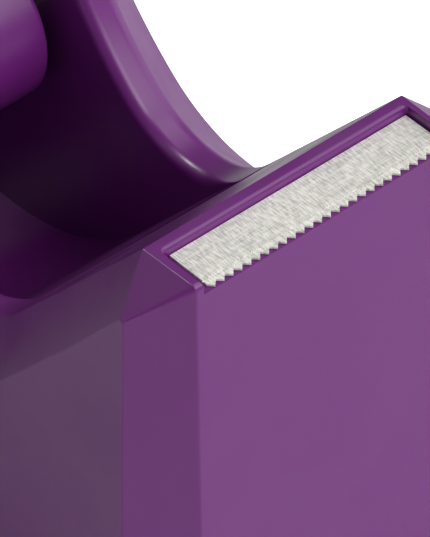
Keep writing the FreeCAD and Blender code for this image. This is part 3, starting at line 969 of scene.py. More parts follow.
@dataclass
class Housing:
    """The moulded body with its tape well, the cutter's seat and the axle's slots. In millimetres."""

    outline: Outline = field(default_factory=Outline)
    half_width: float = 21.12
    plan_taper: float = 0.02
    side_half_width: float = 27.3
    side_draft: float = 1.8
    wall: float = 2.4
    well_half_width: float = 16.4
    hub_back: float = 71.2
    hub_drop: float = 27.2
    front_shoulder: float = 0.65
    rim_shoulder: float = 0.22
    rim_shoulder_step: float = 0.02
    slope_shoulder: float = 0.35
    valley_shoulder: float = 0.8
    valley_shoulder_share: float = 0.6
    shoulder_rounding: float = 2.6
    well_rounding: float = 1.7
    well_rounding_share: float = 0.6
    side_rounding: float = 0.5
    recess_half_width: float = 20.0
    recess_shift: float = 0.25
    recess_depth: float = 1.7
    recess_back: float = 1.85
    recess_rounding: float = 0.5
    recess_corner: float = 0.35
    recess_side_share: float = 0.3
    slot_half_width: float = 2.65
    slot_depth: float = 3.2
    slot_flare: float = 0.7
    slot_chamfer: float = 0.9
    foot_ceiling: float = 6.0
    cavity_half_width: float = 17.5
    cavity_low: float = 5.0
    cavity_step: float = 6.2
    cavity_knee: float = 23.0
    cavity_roof: float = 65.0
    cavity_front_room: float = 0.6
    cavity_back_room: float = 1.9
    cavity_bend: float = 2.0
    cavity_reach: float = 8.0
    fillet_steps: int = 6

    @property
    def hub(self) -> Point2:
        """The hub's axis in the side view."""
        return self.outline.rim_back + self.hub_back, self.outline.height - self.hub_drop

    @property
    def well_radius(self) -> float:
        """Radius of the well's floor round the hub: the slope's plane touches it."""
        slope = rad(self.outline.slope)
        return self.hub_back * math.sin(slope) - self.hub_drop * math.cos(slope)

    @property
    def well_end(self) -> float:
        """How far along the hump the well's rear edge is, with its rounding."""
        return self.outline.hump_share(self.hub[0] + self.well_radius + self.well_rounding)

    def side_x(self, v: float) -> float:
        """Half width of the side faces at a height."""
        return self.side_half_width + (self.outline.height - v) * math.tan(rad(self.side_draft))

    def shoulder_x(self, u: float) -> float:
        """Half width where the bevel starts; the tower is a little narrower at its front."""
        return self.half_width - self.plan_taper * max(0.0, self.outline.rim_back - u)

    def row_plan(self) -> list[Row]:
        """Plans the rows of the skin, closer together where the outline bends.

        Returns:
            For each row: its stretch, the share along it, the shoulder's rounding and the well's.
        """
        line, front, rim = self.outline, self.front_shoulder, self.rim_shoulder
        slope, valley = self.slope_shoulder, self.valley_shoulder
        soft, well = self.shoulder_rounding, self.well_rounding
        front_steps, rim_steps, valley_steps, rise_steps, hump_steps, rear_steps = 6, 4, 40, 12, 52, 26
        rows = [(Stretch.FRONT, t, front, 0.0) for t in (0.0, 0.25, 0.5, 0.75, 0.96, 1.0)]
        rows += [(Stretch.FRONT_ROUND, t, front + (rim - front) * t, 0.0)
                 for t in spread(1.0, front_steps)[1:-1]]
        rows += [(Stretch.RIM, t, rim, 0.0) for t in (0.0, 0.1, 0.5, 0.9, 1.0)]
        rows += [(Stretch.RIM_ROUND, i / rim_steps, rim + self.rim_shoulder_step * i, 0.0)
                 for i in range(1, rim_steps)]
        rows += [(Stretch.SLOPE, t, slope + (valley - slope) * t, 0.0)
                 for t in (0.0, 0.1, 0.25, 0.4, 0.55, 0.7, 0.85, 1.0)]
        for t in spread(1.0, valley_steps)[1:]:
            rise = line.valley_radius * (1 - math.cos(rad(t * (line.slope + line.rise_start))))
            shoulder = valley + (soft - valley) * min(1.0, t / self.valley_shoulder_share)
            rows.append((Stretch.VALLEY, t, shoulder, min(well, self.well_rounding_share * rise)))
        end = self.well_end
        rows += [(Stretch.RISE, t, soft, well) for t in spread(1.0, rise_steps)[1:]]
        rows += [(Stretch.HUMP, t, soft, well) for t in spread(end, hump_steps)[1:]]
        rows += [(Stretch.HUMP, end + t, soft, well) for t in spread(1 - end, rear_steps)[1:]]
        rows += [(Stretch.BACK, t, soft, well) for t in (0.25, 0.5, 0.75, 1.0)]
        return rows

    def cross_row(self, stretch: Stretch, t: float, rounding: float) -> list[Point3]:
        """Points of one row on the +X side, from the side face over the bevel to the flat top.

        Args:
            stretch: the row's stretch of the outline.
            t: the share along it.
            rounding: radius of the shoulder between bevel and top.

        Returns:
            The row's points.
        """
        u0, _ = self.outline.point(stretch, t, 0.0)
        bevel = self.outline.bevel_at(stretch, t)
        _, v1 = self.outline.point(stretch, t, bevel)
        side, shoulder = Vector((self.side_x(v1), bevel)), Vector((self.shoulder_x(u0), 0.0))
        across = (shoulder - side).normalized()
        path = fillet_2d(side, Vector((0.0, -1.0)), across, self.side_rounding, self.fillet_steps)
        path += fillet_2d(shoulder, across, Vector((-1.0, 0.0)), rounding, self.fillet_steps)
        points = []
        for i, (x, inset) in enumerate(path):
            u, v = self.outline.point(stretch, t, inset)
            points.append((self.side_x(v) if i == 0 else x, u, v))
        return points

    def opening_row(self, stretch: Stretch, t: float, rounding: float, corner: bool) -> list[Point3]:
        """Points of the well's rounded edge at one row, from the flat top down to the well's side.

        Args:
            stretch: the row's stretch of the outline.
            t: the share along it.
            rounding: radius of the well's edge.
            corner: whether this is the row over the well's rear wall.

        Returns:
            The edge's points on the +X side.
        """
        points = []
        for angle in spread(math.pi / 2, self.fillet_steps + 1):
            inset, out = rounding * (1 - math.cos(angle)), rounding * (1 - math.sin(angle))
            u, v = self.outline.point(stretch, t, inset)
            if corner:
                u = self.hub[0] + self.well_radius + out
                reach = (self.outline.hump_radius - inset) ** 2 - (u - self.outline.hump[0]) ** 2
                v = self.outline.hump[1] + math.sqrt(reach)
            points.append((self.well_half_width + out, u, v))
        return points

    def well_floor(self) -> list[Point2]:
        """Side view of the well's floor.

        Returns:
            Points from where the floor leaves the slope to the foot of the well's back wall.
        """
        u, v = self.hub
        radius, start = self.well_radius, -self.outline.slope
        flat_steps, round_steps = 4, 64
        begin = self.outline.point(Stretch.VALLEY, 0, 0.0)
        touch = (u + radius * math.sin(rad(start)), v - radius * math.cos(rad(start)))
        points = [(begin[0] + (touch[0] - begin[0]) * t, begin[1] + (touch[1] - begin[1]) * t)
                  for t in spread(1.0, flat_steps)[1:-1]]
        for degrees in spread(90 - start, round_steps):
            angle = rad(start + degrees)
            points.append((u + radius * math.sin(angle), v - radius * math.cos(angle)))
        return points

    def build_skin(self) -> bpy.types.Object:
        """The closed outside of the body with the tape well in it.

        Returns:
            The linked object.
        """
        plan = self.row_plan()
        bm = bmesh.new()

        def mirrored(points: list[Point3]) -> tuple[list, list]:
            """Vertices of a list of points on the +X side and on the -X side."""
            return tuple([bm.verts.new((s * x * MM, u * MM, v * MM)) for x, u, v in points] for s in (1, -1))

        start = next(i for i, row in enumerate(plan) if row[0] is Stretch.SLOPE and row[1] == 1.0)
        end = self.well_end + 1e-9
        corner = max(i for i, row in enumerate(plan) if row[0] is Stretch.HUMP and row[1] <= end)
        rows = [mirrored(self.cross_row(s, t, r)) for s, t, r, _ in plan]
        edges = {}
        for i, (s, t, _, w) in enumerate(plan):
            if start <= i <= corner:
                edges[i] = mirrored(self.opening_row(s, t, w, i == corner))
            else:
                u, v = self.outline.point(s, t, 0.0)
                edges[i] = mirrored([(self.well_half_width + w, u, v)])
        for i in range(len(plan) - 1):
            for side in (0, 1):
                quads(bm, rows[i][side] + [edges[i][side][0]], rows[i + 1][side] + [edges[i + 1][side][0]])
                if start <= i < corner:
                    quads(bm, edges[i][side], edges[i + 1][side])
            if not start <= i < corner:
                bm.faces.new((edges[i][0][0], edges[i][1][0], edges[i + 1][1][0], edges[i + 1][0][0]))
        quads(bm, edges[corner][0], edges[corner][1])
        floor = [mirrored([(self.well_half_width, u, v)]) for u, v in self.well_floor()]
        lines = [[edges[start][side][-1]] + [f[side][0] for f in floor] + [edges[corner][side][-1]]
                 for side in (0, 1)]
        quads(bm, *lines)
        for side, line in enumerate(lines):
            brim = [edges[i][side][-1] for i in range(start + 1, corner)]
            bm.faces.new(line + brim[::-1])
            bm.faces.new([row[side][0] for row in rows])
        self.close_foot(bm, rows, edges)
        return new_object("housing_shell", mesh_from(bm, "housing_shell"))

    def close_foot(self, bm: bmesh.types.BMesh, rows: list, edges: dict) -> None:
        """Closes the body's lower edge: a rounded foot, its wall, and a flat face inside.

        Args:
            bm: the skin's bmesh.
            rows: the skin's rows of vertices, each for both sides.
            edges: the vertices at each row's inner end, each for both sides.
        """
        last = len(rows) - 1
        loop = rows[0][0] + [edges[0][0][0], edges[0][1][0]] + rows[0][1][::-1]
        loop += rows[last][1] + [edges[last][1][0], edges[last][0][0]] + rows[last][0][::-1]
        lip, foot = self.outline.lip, self.outline.foot
        previous, foot_steps = loop, 3
        for angle in spread(math.pi / 2, foot_steps)[1:]:
            inset, height = (lip - foot) * (1 - math.cos(angle)), lip - (lip - foot) * math.sin(angle)
            ring = offset_ring(bm, loop, inset, height)
            closed_quads(bm, previous, ring)
            previous = ring
        inner = offset_ring(bm, loop, self.wall, foot)
        closed_quads(bm, previous, inner)
        ceiling = offset_ring(bm, loop, self.wall, self.foot_ceiling)
        closed_quads(bm, inner, ceiling)
        bm.faces.new(ceiling)

    def recess_cutter(self) -> bpy.types.Object:
        """The solid that leaves the cutter's seat in the tower's top, with rounded upper edges.

        Returns:
            The linked solid, past the tower's front and top.
        """
        past_front, past_top, round_steps = 6.0, 4.0, 5
        top, radius = self.outline.height, self.recess_rounding
        back, front = self.outline.rim_back - self.recess_back, self.outline.front_top - past_front
        levels = [(top - self.recess_depth, 0.0)]
        levels += [(top - radius + radius * math.sin(a), radius * (1 - math.cos(a)))
                   for a in spread(math.pi / 2, round_steps)]
        levels.append((top + past_top, radius))
        layers = []
        for z, grow in levels:
            half, rear = self.recess_half_width + self.recess_side_share * grow, back + grow
            layers.append(self.seat_ring(half, front, rear, self.recess_corner + grow, z))
        return layered_solid("recess_cutter", layers)

    def seat_ring(self, half: float, front: float, rear: float, radius: float, z: float) -> list[Point3]:
        """The seat's outline at one height: square at the front, with two rounded corners behind.

        Args:
            half: half its width.
            front: its front end.
            rear: its rear end.
            radius: the radius of its rear corners.
            z: its height.

        Returns:
            The outline's points.
        """
        ring, steps = [(-half, front), (half, front)], 4
        for x, start in ((half - radius, 0.0), (radius - half, math.pi / 2)):
            for angle in spread(math.pi / 2, steps):
                a = start + angle
                ring.append((x + radius * math.cos(a), rear - radius + radius * math.sin(a)))
        return [(x + self.recess_shift, y, z) for x, y in ring]

    def slot_cutter(self, side: int) -> bpy.types.Object:
        """The solid that leaves an open-topped axle slot in a cheek.

        Args:
            side: 1 for the right cheek, -1 for the left one.

        Returns:
            The linked solid, past the cheek's inner face and top.
        """
        past_side, past_top, round_steps = 2.0, 3.0, 16
        u, v = self.hub
        half = self.slot_half_width
        top, wide = self.outline.hump[1] + self.outline.hump_radius, half + self.slot_flare
        neck = top - self.slot_flare - self.slot_chamfer
        outline = [(u - wide - past_top, top + past_top), (u - wide, top), (u - half, neck)]
        outline += [(u - half * math.cos(a), v - half * math.sin(a)) for a in spread(math.pi, round_steps)]
        outline += [(u + half, neck), (u + wide, top), (u + wide + past_top, top + past_top)]
        ends = (self.well_half_width - past_side, self.well_half_width + self.slot_depth)
        return layered_solid(f"slot_cutter_{side}", [[(side * x, a, b) for a, b in outline] for x in ends])

    def cavity_cutter(self) -> bpy.types.Object:
        """The solid that leaves the room for the two weights, from the foot up to the tower's roof.

        Returns:
            The linked solid.
        """
        line = self.outline
        slope, clear = rad(line.slope), self.wall
        low, step, knee, roof = self.cavity_low, self.cavity_step, self.cavity_knee, self.cavity_roof
        front = line.front_top + clear + self.cavity_front_room
        back = line.length / 2 - clear - self.cavity_back_room

        def on_slope(height: float) -> float:
            """Where the slope's inner wall is at a height."""
            return line.rim_back + (line.height - height) / math.tan(slope) - clear / math.sin(slope)

        u, v = self.hub
        radius = self.well_radius + clear
        floor = v - math.sqrt(max(radius * radius - (on_slope(knee) - u) ** 2, 0.0))
        points = [(front, low), (front, roof), (on_slope(roof), roof), (on_slope(knee), knee)]
        points += [(on_slope(knee) + self.cavity_bend, min(floor, step)), (u + self.cavity_reach, step)]
        for degrees in range(76, 20, -4):
            a = rad(degrees)
            points.append((u + radius * math.cos(a), v - radius * math.sin(a)))
        points += [(back, points[-1][1]), (back, low)]
        half = self.cavity_half_width
        return layered_solid("cavity_cutter", [[(x, a, b) for a, b in points] for x in (-half, half)])

    def build(self, finishes: Finishes) -> list[bpy.types.Object]:
        """Makes the body.

        Args:
            finishes: the dispenser's materials.

        Returns:
            The body, as a list of one piece.
        """
        skin = self.build_skin()
        for cutter in (self.recess_cutter(), self.slot_cutter(1), self.slot_cutter(-1), self.cavity_cutter()):
            cut_by(skin, cutter)
        return [dressed(skin, "body_shell", "housing", finishes.body)]


# --------------------------------------------------------------------------------------------------
# Cutter
# --------------------------------------------------------------------------------------------------


@dataclass
class Cutter:
    """The toothed strip and the adhesive under it. Sizes are in millimetres."""

    housing: Housing
    pitch: float = 1.43
    count: int = 27
    shift: float = 0.7
    depth: float = 7.55
    tooth: float = 0.75
    sharp_angle: float = 20.0
    tooth_width_share: float = 0.985
    tip_half_width: float = 0.025
    ridge: float = 0.02
    ground: float = 1.3
    thickness: float = 0.35
    tip_thickness: float = 0.27
    groove_depth: float = 0.2
    groove_width: float = 0.24
    groove_side: float = 0.02
    middle: float = 3.0
    edge: float = 0.09
    lower_edge: float = 0.04
    gap: float = 0.1
    adhesive: float = 0.1
    adhesive_ends: Point2 = (2.6, 1.6)
    adhesive_sides: Point2 = (1.25, 0.55)
    adhesive_corner: float = 0.4
    adhesive_edge: float = 0.03

    @property
    def low(self) -> float:
        """Height of the strip's lower face."""
        return self.housing.outline.height - self.housing.recess_depth + self.adhesive

    @property
    def back(self) -> float:
        """Where the strip's rear edge is."""
        return self.housing.outline.rim_back - self.housing.recess_back - self.gap

    @property
    def root(self) -> float:
        """Where the teeth meet the strip."""
        return self.back - self.depth + self.tooth

    def build(self, finishes: Finishes) -> list[bpy.types.Object]:
        """Makes the strip with its teeth, and the adhesive.

        Args:
            finishes: the dispenser's materials.

        Returns:
            The two pieces.
        """
        row = Repeat(self.count, 1, (self.count - 1) * self.pitch, 0.0, (self.shift, self.root, 0.0))
        blade = row.apply(self.build_plate(), self.build_tooth(), finishes.blade)
        blade = dressed(blade, "cutter_blade", "housing", finishes.blade, self.sharp_angle)
        middle, half = self.housing.recess_shift, self.housing.recess_half_width
        x = (middle - half + self.adhesive_ends[0], middle + half - self.adhesive_ends[1])
        y = (self.root + self.adhesive_sides[0], self.back - self.adhesive_sides[1])
        ring = rounded_box(x, y, self.adhesive_corner)
        under = self.low - self.adhesive
        sheet = soft_slab("blade_adhesive_sheet", ring, under, self.low, self.adhesive_edge)
        return [blade, dressed(sheet, "blade_adhesive", "housing", finishes.strip)]

    def height_at(self, behind_tip: float) -> float:
        """Thickness of the strip at a distance behind the tips: ground thinner towards them."""
        share = min(1.0, behind_tip / self.ground)
        return self.tip_thickness + (self.thickness - self.tip_thickness) * share

    def build_plate(self) -> bpy.types.Object:
        """The strip behind the teeth: a ground front, a groove, and rounded rear and end edges.

        Returns:
            The linked object.
        """
        edge, full, root = self.edge, self.thickness, self.root
        bend, side_steps, back_steps = root + self.ground - self.tooth, 3, 4
        floor, far = full - self.groove_depth, bend + self.groove_width
        stations = [(root, self.height_at(self.tooth), 0.0), (bend, full, 0.0),
                    (bend + self.groove_side, floor, 0.0), (far, floor, 0.0),
                    (far + self.groove_side, full, 0.0), (root + self.middle, full, 0.0)]
        for a in spread(math.pi / 2, back_steps):
            down = edge * (1 - math.cos(a))
            stations.append((self.back - edge + edge * math.sin(a), full - down, down))
        layers = []
        for y, thick, inset in stations:
            half, top = self.count * self.pitch / 2 - inset, self.low + thick
            bottom = self.low + min(inset, self.lower_edge)
            arc = [(half - edge + edge * math.cos(a), top - edge + edge * math.sin(a))
                   for a in spread(math.pi / 2, side_steps)]
            outline = [(-half, bottom), (half, bottom)] + arc + [(-x, z) for x, z in arc[::-1]]
            layers.append([(x + self.shift, y, z) for x, z in outline])
        return layered_solid("blade_strip", layers)

    def build_tooth(self) -> bpy.types.Object:
        """One pointed tooth, with its root at the origin's Y and its lower face at the strip's.

        Returns:
            The linked object.
        """
        half = self.pitch / 2 * self.tooth_width_share
        low, layers = self.low, []
        for share in (0.0, 0.35, 0.7, 0.9, 0.99):
            y = -self.tooth * share
            width = max(half * (1 - share), self.tip_half_width)
            top = low + self.height_at(self.tooth * (1 - share))
            ridge = min(self.ridge, width * 0.4)
            layers.append([(-width, y, low), (width, y, low), (width, y, top - ridge),
                           (width - ridge, y, top), (-width + ridge, y, top), (-width, y, top - ridge)])
        return layered_solid("blade_tooth", layers)


# --------------------------------------------------------------------------------------------------
# Hub
# --------------------------------------------------------------------------------------------------


@dataclass
class Hub:
    """The drum, its pressed-in cap, the axle, and the washer and clip at each end. In millimetres."""

    axis: Point2
    radius: float = 12.2
    length: float = 28.0
    wall: float = 2.0
    end_rounding: float = 1.0
    boss_radius: float = 5.0
    boss_length: float = 5.0
    bore: float = 2.55
    dish_depth: float = 0.35
    dish_lip: float = 0.02
    dish_outer: Point2 = (0.62, 0.57)
    dish_inner: Point2 = (0.9, 0.4)
    dish_rounding: float = 0.25
    rim_rounding: float = 0.12
    axle_radius: float = 2.5
    axle_length: float = 38.0
    axle_rounding: float = 0.4
    play: float = 0.05
    washer_radius: float = 4.5
    washer_thickness: float = 0.8
    washer_rounding: float = 0.25
    washer_play: float = 0.02
    clip_radius: float = 4.3
    clip_thickness: float = 0.6
    clip_groove: float = 2.0
    clip_mouth_share: float = 0.85
    clip_hollow: float = 0.45
    clip_rounding: float = 0.08
    crisp: float = 0.1
    rounded: float = 0.2
    soft: float = 0.4

    @property
    def washer_place(self) -> float:
        """Where a washer's inner face is, out from the middle."""
        return self.length / 2 + self.play

    @property
    def clip_place(self) -> float:
        """Where a clip's inner face is, out from the middle."""
        return self.length / 2 + self.play + self.washer_thickness + self.play

    def build(self, finishes: Finishes) -> list[bpy.types.Object]:
        """Makes the seven pieces that lift out of the slots.

        Args:
            finishes: the dispenser's materials.

        Returns:
            The pieces.
        """
        pieces = [self.build_drum(finishes), self.build_cap(finishes), self.build_axle(finishes)]
        for side, tag in ((-1, "left"), (1, "right")):
            pieces += [self.build_washer(side, tag, finishes), self.build_clip(side, tag, finishes)]
        return pieces

    def build_drum(self, finishes: Finishes) -> bpy.types.Object:
        """The drum, open at its right end, with a boss round its bore inside.

        Args:
            finishes: the dispenser's materials.

        Returns:
            The piece.
        """
        end, inside, boss = self.length / 2, self.radius - self.wall, self.boss_radius
        floor, boss_end = self.wall - end, self.boss_length - end
        section = rounded_path([
            (-end, self.bore, self.rounded), (-end, self.radius, self.end_rounding),
            (end, self.radius, self.end_rounding), (end, inside, self.crisp), (floor, inside, self.soft),
            (floor, boss, self.soft), (boss_end, boss, self.rounded), (boss_end, self.bore, self.crisp)], 6)
        drum = turned("hub_drum_turned", section, self.axis)
        return dressed(drum, "hub_drum", "hub", finishes.hub)

    def build_cap(self, finishes: Finishes) -> bpy.types.Object:
        """The cap that is pressed into the drum's right end, with a shallow dish in its face.

        Args:
            finishes: the dispenser's materials.

        Returns:
            The piece.
        """
        end, inside, boss = self.length / 2, self.radius - self.wall, self.boss_radius
        boss_end, plate = end - self.boss_length, end - self.wall
        dish, lip = end - self.dish_depth, end - self.dish_lip
        section = rounded_path([
            (boss_end, self.bore, self.crisp), (boss_end, boss, self.rounded), (plate, boss, self.soft),
            (plate, inside, self.crisp), (end, inside, self.rim_rounding),
            (lip, self.radius * self.dish_outer[0], 0.0),
            (dish, self.radius * self.dish_outer[1], self.dish_rounding),
            (dish, boss + self.dish_inner[0], self.dish_rounding),
            (lip, boss + self.dish_inner[1], 0.0), (end, self.bore, self.rounded)])
        cap = turned("hub_cap_turned", section, self.axis)
        return dressed(cap, "hub_end_cap", "hub", finishes.hub)

    def build_axle(self, finishes: Finishes) -> bpy.types.Object:
        """The ground pin, with rounded ends and a groove for each clip.

        Args:
            finishes: the dispenser's materials.

        Returns:
            The piece.
        """
        half, radius, edge = self.axle_length / 2, self.axle_radius, self.play
        near, far = self.clip_place, self.clip_place + self.clip_thickness
        right = [(near, radius, edge), (near, self.clip_groove, edge), (far, self.clip_groove, edge),
                 (far, radius, edge), (half, radius, self.axle_rounding), (half, 0.02, 0.0)]
        left = [(-x, r, e) for x, r, e in right[::-1]]
        axle = turned("hub_axle_turned", rounded_path(left + right), self.axis, 64)
        return dressed(axle, "hub_axle", "axle", finishes.axle)

    def build_washer(self, side: int, tag: str, finishes: Finishes) -> bpy.types.Object:
        """A thin washer between the hub's end and its clip.

        Args:
            side: 1 for the right end, -1 for the left one.
            tag: the end's name.
            finishes: the dispenser's materials.

        Returns:
            The piece.
        """
        near, far = self.washer_place, self.washer_place + self.washer_thickness
        hole, outside = self.axle_radius + self.washer_play, self.washer_radius
        section = rounded_path([(near, hole, self.crisp), (near, outside, self.washer_rounding),
                                (far, outside, self.washer_rounding), (far, hole, self.crisp)])
        washer = turned(f"washer_{tag}", [(side * x, r) for x, r in section], self.axis, 64)
        return dressed(washer, f"axle_washer_{tag}", "axle", finishes.nylon)

    def build_clip(self, side: int, tag: str, finishes: Finishes) -> bpy.types.Object:
        """An open spring clip that snaps into the axle's groove and grips it at three places.

        Args:
            side: 1 for the right end, -1 for the left one.
            tag: the end's name.
            finishes: the dispenser's materials.

        Returns:
            The piece.
        """
        inner, outer, near, steps = self.clip_groove, self.clip_radius, self.clip_place, 48
        mouth = inner * self.clip_mouth_share
        start, stop = math.asin(mouth / outer), math.asin(mouth / inner)
        ring = [(outer * math.cos(start + a), outer * math.sin(start + a))
                for a in spread(2 * math.pi - 2 * start, steps)]
        for turn in spread(2 * math.pi - 2 * stop, steps):
            a = 2 * math.pi - stop - turn
            hollow = abs(math.sin(1.5 * (a - math.pi))) > 0.72
            reach = inner + (self.clip_hollow if hollow else 0.0)
            ring.append((reach * math.cos(a), reach * math.sin(a)))
        u, v = self.axis
        layers = [[(side * x, u + a, v + b) for a, b in ring] for x in (near, near + self.clip_thickness)]
        clip = layered_solid(f"clip_{tag}", layers)
        add_bevel(clip, self.clip_rounding * MM, 2)
        return dressed(baked(clip), f"axle_clip_{tag}", "axle", finishes.clip)


# --------------------------------------------------------------------------------------------------
# Base and weights
# --------------------------------------------------------------------------------------------------


@dataclass
class Base:
    """The cover with its screws, the foam under it, and the two weights with their foam. In millimetres."""

    housing: Housing
    pad: float = 1.8
    pad_inset: float = 3.0
    pad_rounding: float = 0.45
    cover: float = 2.4
    cover_gap: float = 0.3
    cover_rounding: float = 0.35
    near_half_width: float = 21.0
    bevel: float = 6.4
    corner_rounding: float = 1.6
    screw_x: float = 19.5
    screw_y: float = 50.5
    head_radius: float = 2.9
    head_height: float = 1.3
    head_rounding: float = 0.75
    head_gap: float = 0.2
    shank_radius: float = 1.45
    shank_gap: float = 0.1
    screw_length: float = 12.0
    thread_pitch: float = 0.7
    thread_depth: float = 0.28
    cross_half_width: float = 0.3
    cross_share: float = 1.1
    weight_half_width: float = 13.5
    weight_pad: float = 1.0
    weight_top: float = 50.0
    weight_gap: float = 1.2
    weight_floor_gap: float = 0.8
    weight_corner: float = 0.9
    weight_rounding: float = 0.7
    foam_margin: float = 3.0
    foam_corner: float = 1.2
    foam_rounding: float = 0.25

    def footprint(self, inset: float) -> list[Point2]:
        """The eight-cornered outline of the foot with rounded corners, moved inwards.

        Args:
            inset: how far inwards.

        Returns:
            The outline's points.
        """
        slant = (math.sqrt(2) - 1) * inset
        draft = (self.housing.outline.height - self.pad) * math.tan(rad(self.housing.side_draft))
        near, far = self.near_half_width - slant, self.near_half_width + self.bevel + draft - inset
        long = self.housing.outline.length / 2 - inset
        short = long - self.bevel - slant + inset
        half = [(far, -short), (far, short), (near, long), (-near, long)]
        corners = half + [(-x, -y) for x, y in half]
        return rounded_path([(x, y, self.corner_rounding) for x, y in corners], 5)

    def build(self, finishes: Finishes) -> list[bpy.types.Object]:
        """Makes everything under and inside the body.

        Args:
            finishes: the dispenser's materials.

        Returns:
            The pieces.
        """
        pieces = [self.build_cover(finishes), self.build_screws(finishes)]
        ring = self.footprint(self.housing.wall + self.pad_inset)
        foam = soft_slab("base_foam", ring, 0.0, self.pad, self.pad_rounding)
        pieces.append(dressed(foam, "base_pad", "housing", finishes.foam))
        return pieces + self.build_weights(finishes)

    def build_cover(self, finishes: Finishes) -> bpy.types.Object:
        """The plate that closes the housing, with four counterbored holes.

        Args:
            finishes: the dispenser's materials.

        Returns:
            The piece.
        """
        low, high, past, steps = self.pad, self.pad + self.cover, 1.0, 40
        ring = self.footprint(self.housing.wall + self.cover_gap)
        plate = soft_slab("cover_plate", ring, low, high, self.cover_rounding)
        seat = low + self.head_height + 0.1
        wide, narrow = self.head_radius + self.head_gap, self.shank_radius + self.shank_gap
        for x in (-self.screw_x, self.screw_x):
            for y in (-self.screw_y, self.screw_y):
                levels = [(low - past, wide), (seat, wide), (seat, narrow), (high + past, narrow)]
                layers = [[(x + a, y + b, z) for a, b in circle(r, steps)] for z, r in levels]
                cut_by(plate, layered_solid("hole_cutter", layers))
        return dressed(plate, "bottom_cover", "housing", finishes.cover)

    def screw_section(self, low: float, top: float) -> list[Point2]:
        """Half section of a screw, from the middle of its head to its point.

        Args:
            low: the outer face of its head.
            top: the inner face of its head.

        Returns:
            (height, radius) of each point.
        """
        edge, shank, tip, middle = self.head_rounding, self.shank_radius, 0.8, 0.03
        end = low + self.head_height / 2 + self.screw_length
        section = [(low, middle), (low, self.head_radius - edge)]
        section += [(low + edge * (1 - math.cos(a)), self.head_radius - edge + edge * math.sin(a))
                    for a in spread(math.pi / 2, 5)[1:]]
        section += [(top, self.head_radius), (top, shank)]
        plain, crest = 0.4, 0.1
        for i in range(int((end - top - 1.4) / self.thread_pitch)):
            z = top + plain + self.thread_pitch * i
            section += [(z, shank - self.thread_depth), (z + 0.3, shank), (z + 0.3 + crest, shank)]
        return section + [(end - tip, shank - 0.3), (end, 0.2), (end, middle)]

    def build_screws(self, finishes: Finishes) -> bpy.types.Object:
        """Four pan-head screws with cross recesses, as one piece.

        Args:
            finishes: the dispenser's materials.

        Returns:
            The piece.
        """
        low = self.pad + 0.1
        sides, past = 36, 1.0
        section = self.screw_section(low, low + self.head_height)
        screw = layered_solid("screw", [[(x, y, z) for x, y in circle(r, sides)] for z, r in section])
        arm, thin = self.shank_radius * self.cross_share, self.cross_half_width
        for dx, dy in ((arm, thin), (thin, arm)):
            ring = [(-dx, -dy), (dx, -dy), (dx, dy), (-dx, dy)]
            levels = ((low - past, 1.0), (low + self.head_height / 2, 0.8))
            layers = [[(x * share, y * share, z) for x, y in ring] for z, share in levels]
            cut_by(screw, layered_solid("cross_cutter", layers))
        base = new_object("cover_screw_set", bpy.data.meshes.new("cover_screw_set"))
        corners = Repeat(2, 2, 2 * self.screw_x, 2 * self.screw_y, (0.0, 0.0, 0.0))
        screws = corners.apply(base, screw, finishes.zinc)
        return dressed(screws, "cover_screws", "housing", finishes.zinc)

    def build_weights(self, finishes: Finishes) -> list[bpy.types.Object]:
        """Two cast blocks with rounded edges, each on a thin foam sheet.

        Args:
            finishes: the dispenser's materials.

        Returns:
            Each block and its sheet.
        """
        house = self.housing
        line, (u, v) = house.outline, house.hub
        gap, slope = house.wall + self.weight_gap, rad(line.slope)
        foot, top = self.pad + self.cover + self.weight_pad, self.weight_top
        front = -line.length / 2 + gap + line.height * math.tan(rad(line.front_draft))
        back = line.length / 2 - gap - line.height * math.tan(rad(line.back_draft))

        def on_slope(z: float) -> float:
            """Where the front weight's sloping back is at a height."""
            return line.rim_back + (line.height - z) / math.tan(slope) - gap / math.sin(slope)

        def on_floor(degrees: float) -> Point2:
            """A point behind the well's floor."""
            radius, a = house.well_radius + gap + self.weight_floor_gap, rad(degrees)
            return u + radius * math.cos(a), v - radius * math.sin(a)

        knee = v - line.valley_radius - 4
        low, middle, high = on_floor(68), on_floor(48), on_floor(27)
        knee_y = on_slope(knee)
        tower = [(front, foot), (knee_y, foot), (knee_y, knee), (on_slope(top), top), (front, top)]
        rear = [(low[0], foot), (back, foot), (back, high[1]), high, middle, low]
        pieces = self.build_weight("front_weight", tower, (front, knee_y), finishes)
        return pieces + self.build_weight("rear_weight", rear, (low[0], back), finishes)

    def build_weight(self, node: str, corners: list[Point2], ends: Point2,
                     finishes: Finishes) -> list[bpy.types.Object]:
        """One cast block and the foam sheet under it.

        Args:
            node: the block's node.
            corners: the corners of its side view.
            ends: where its foot starts and ends along Y.
            finishes: the dispenser's materials.

        Returns:
            The block and the sheet.
        """
        half, margin, floor = self.weight_half_width, self.foam_margin, self.pad + self.cover
        ring = rounded_path([(a, b, self.weight_corner) for a, b in corners])
        block = layered_solid(f"{node}_casting", [[(x, a, b) for a, b in ring] for x in (-half, half)])
        add_bevel(block, self.weight_rounding * MM, 3, 60.0)
        dressed(baked(block), node, "housing", finishes.iron)
        x, y = (margin - half, half - margin), (ends[0] + margin, ends[1] - margin)
        sheet = rounded_box(x, y, self.foam_corner)
        foam = soft_slab(f"{node}_foam", sheet, floor, floor + self.weight_pad, self.foam_rounding)
        return [block, dressed(foam, f"{node}_pad", "housing", finishes.foam)]


# --------------------------------------------------------------------------------------------------
# Studio
# --------------------------------------------------------------------------------------------------


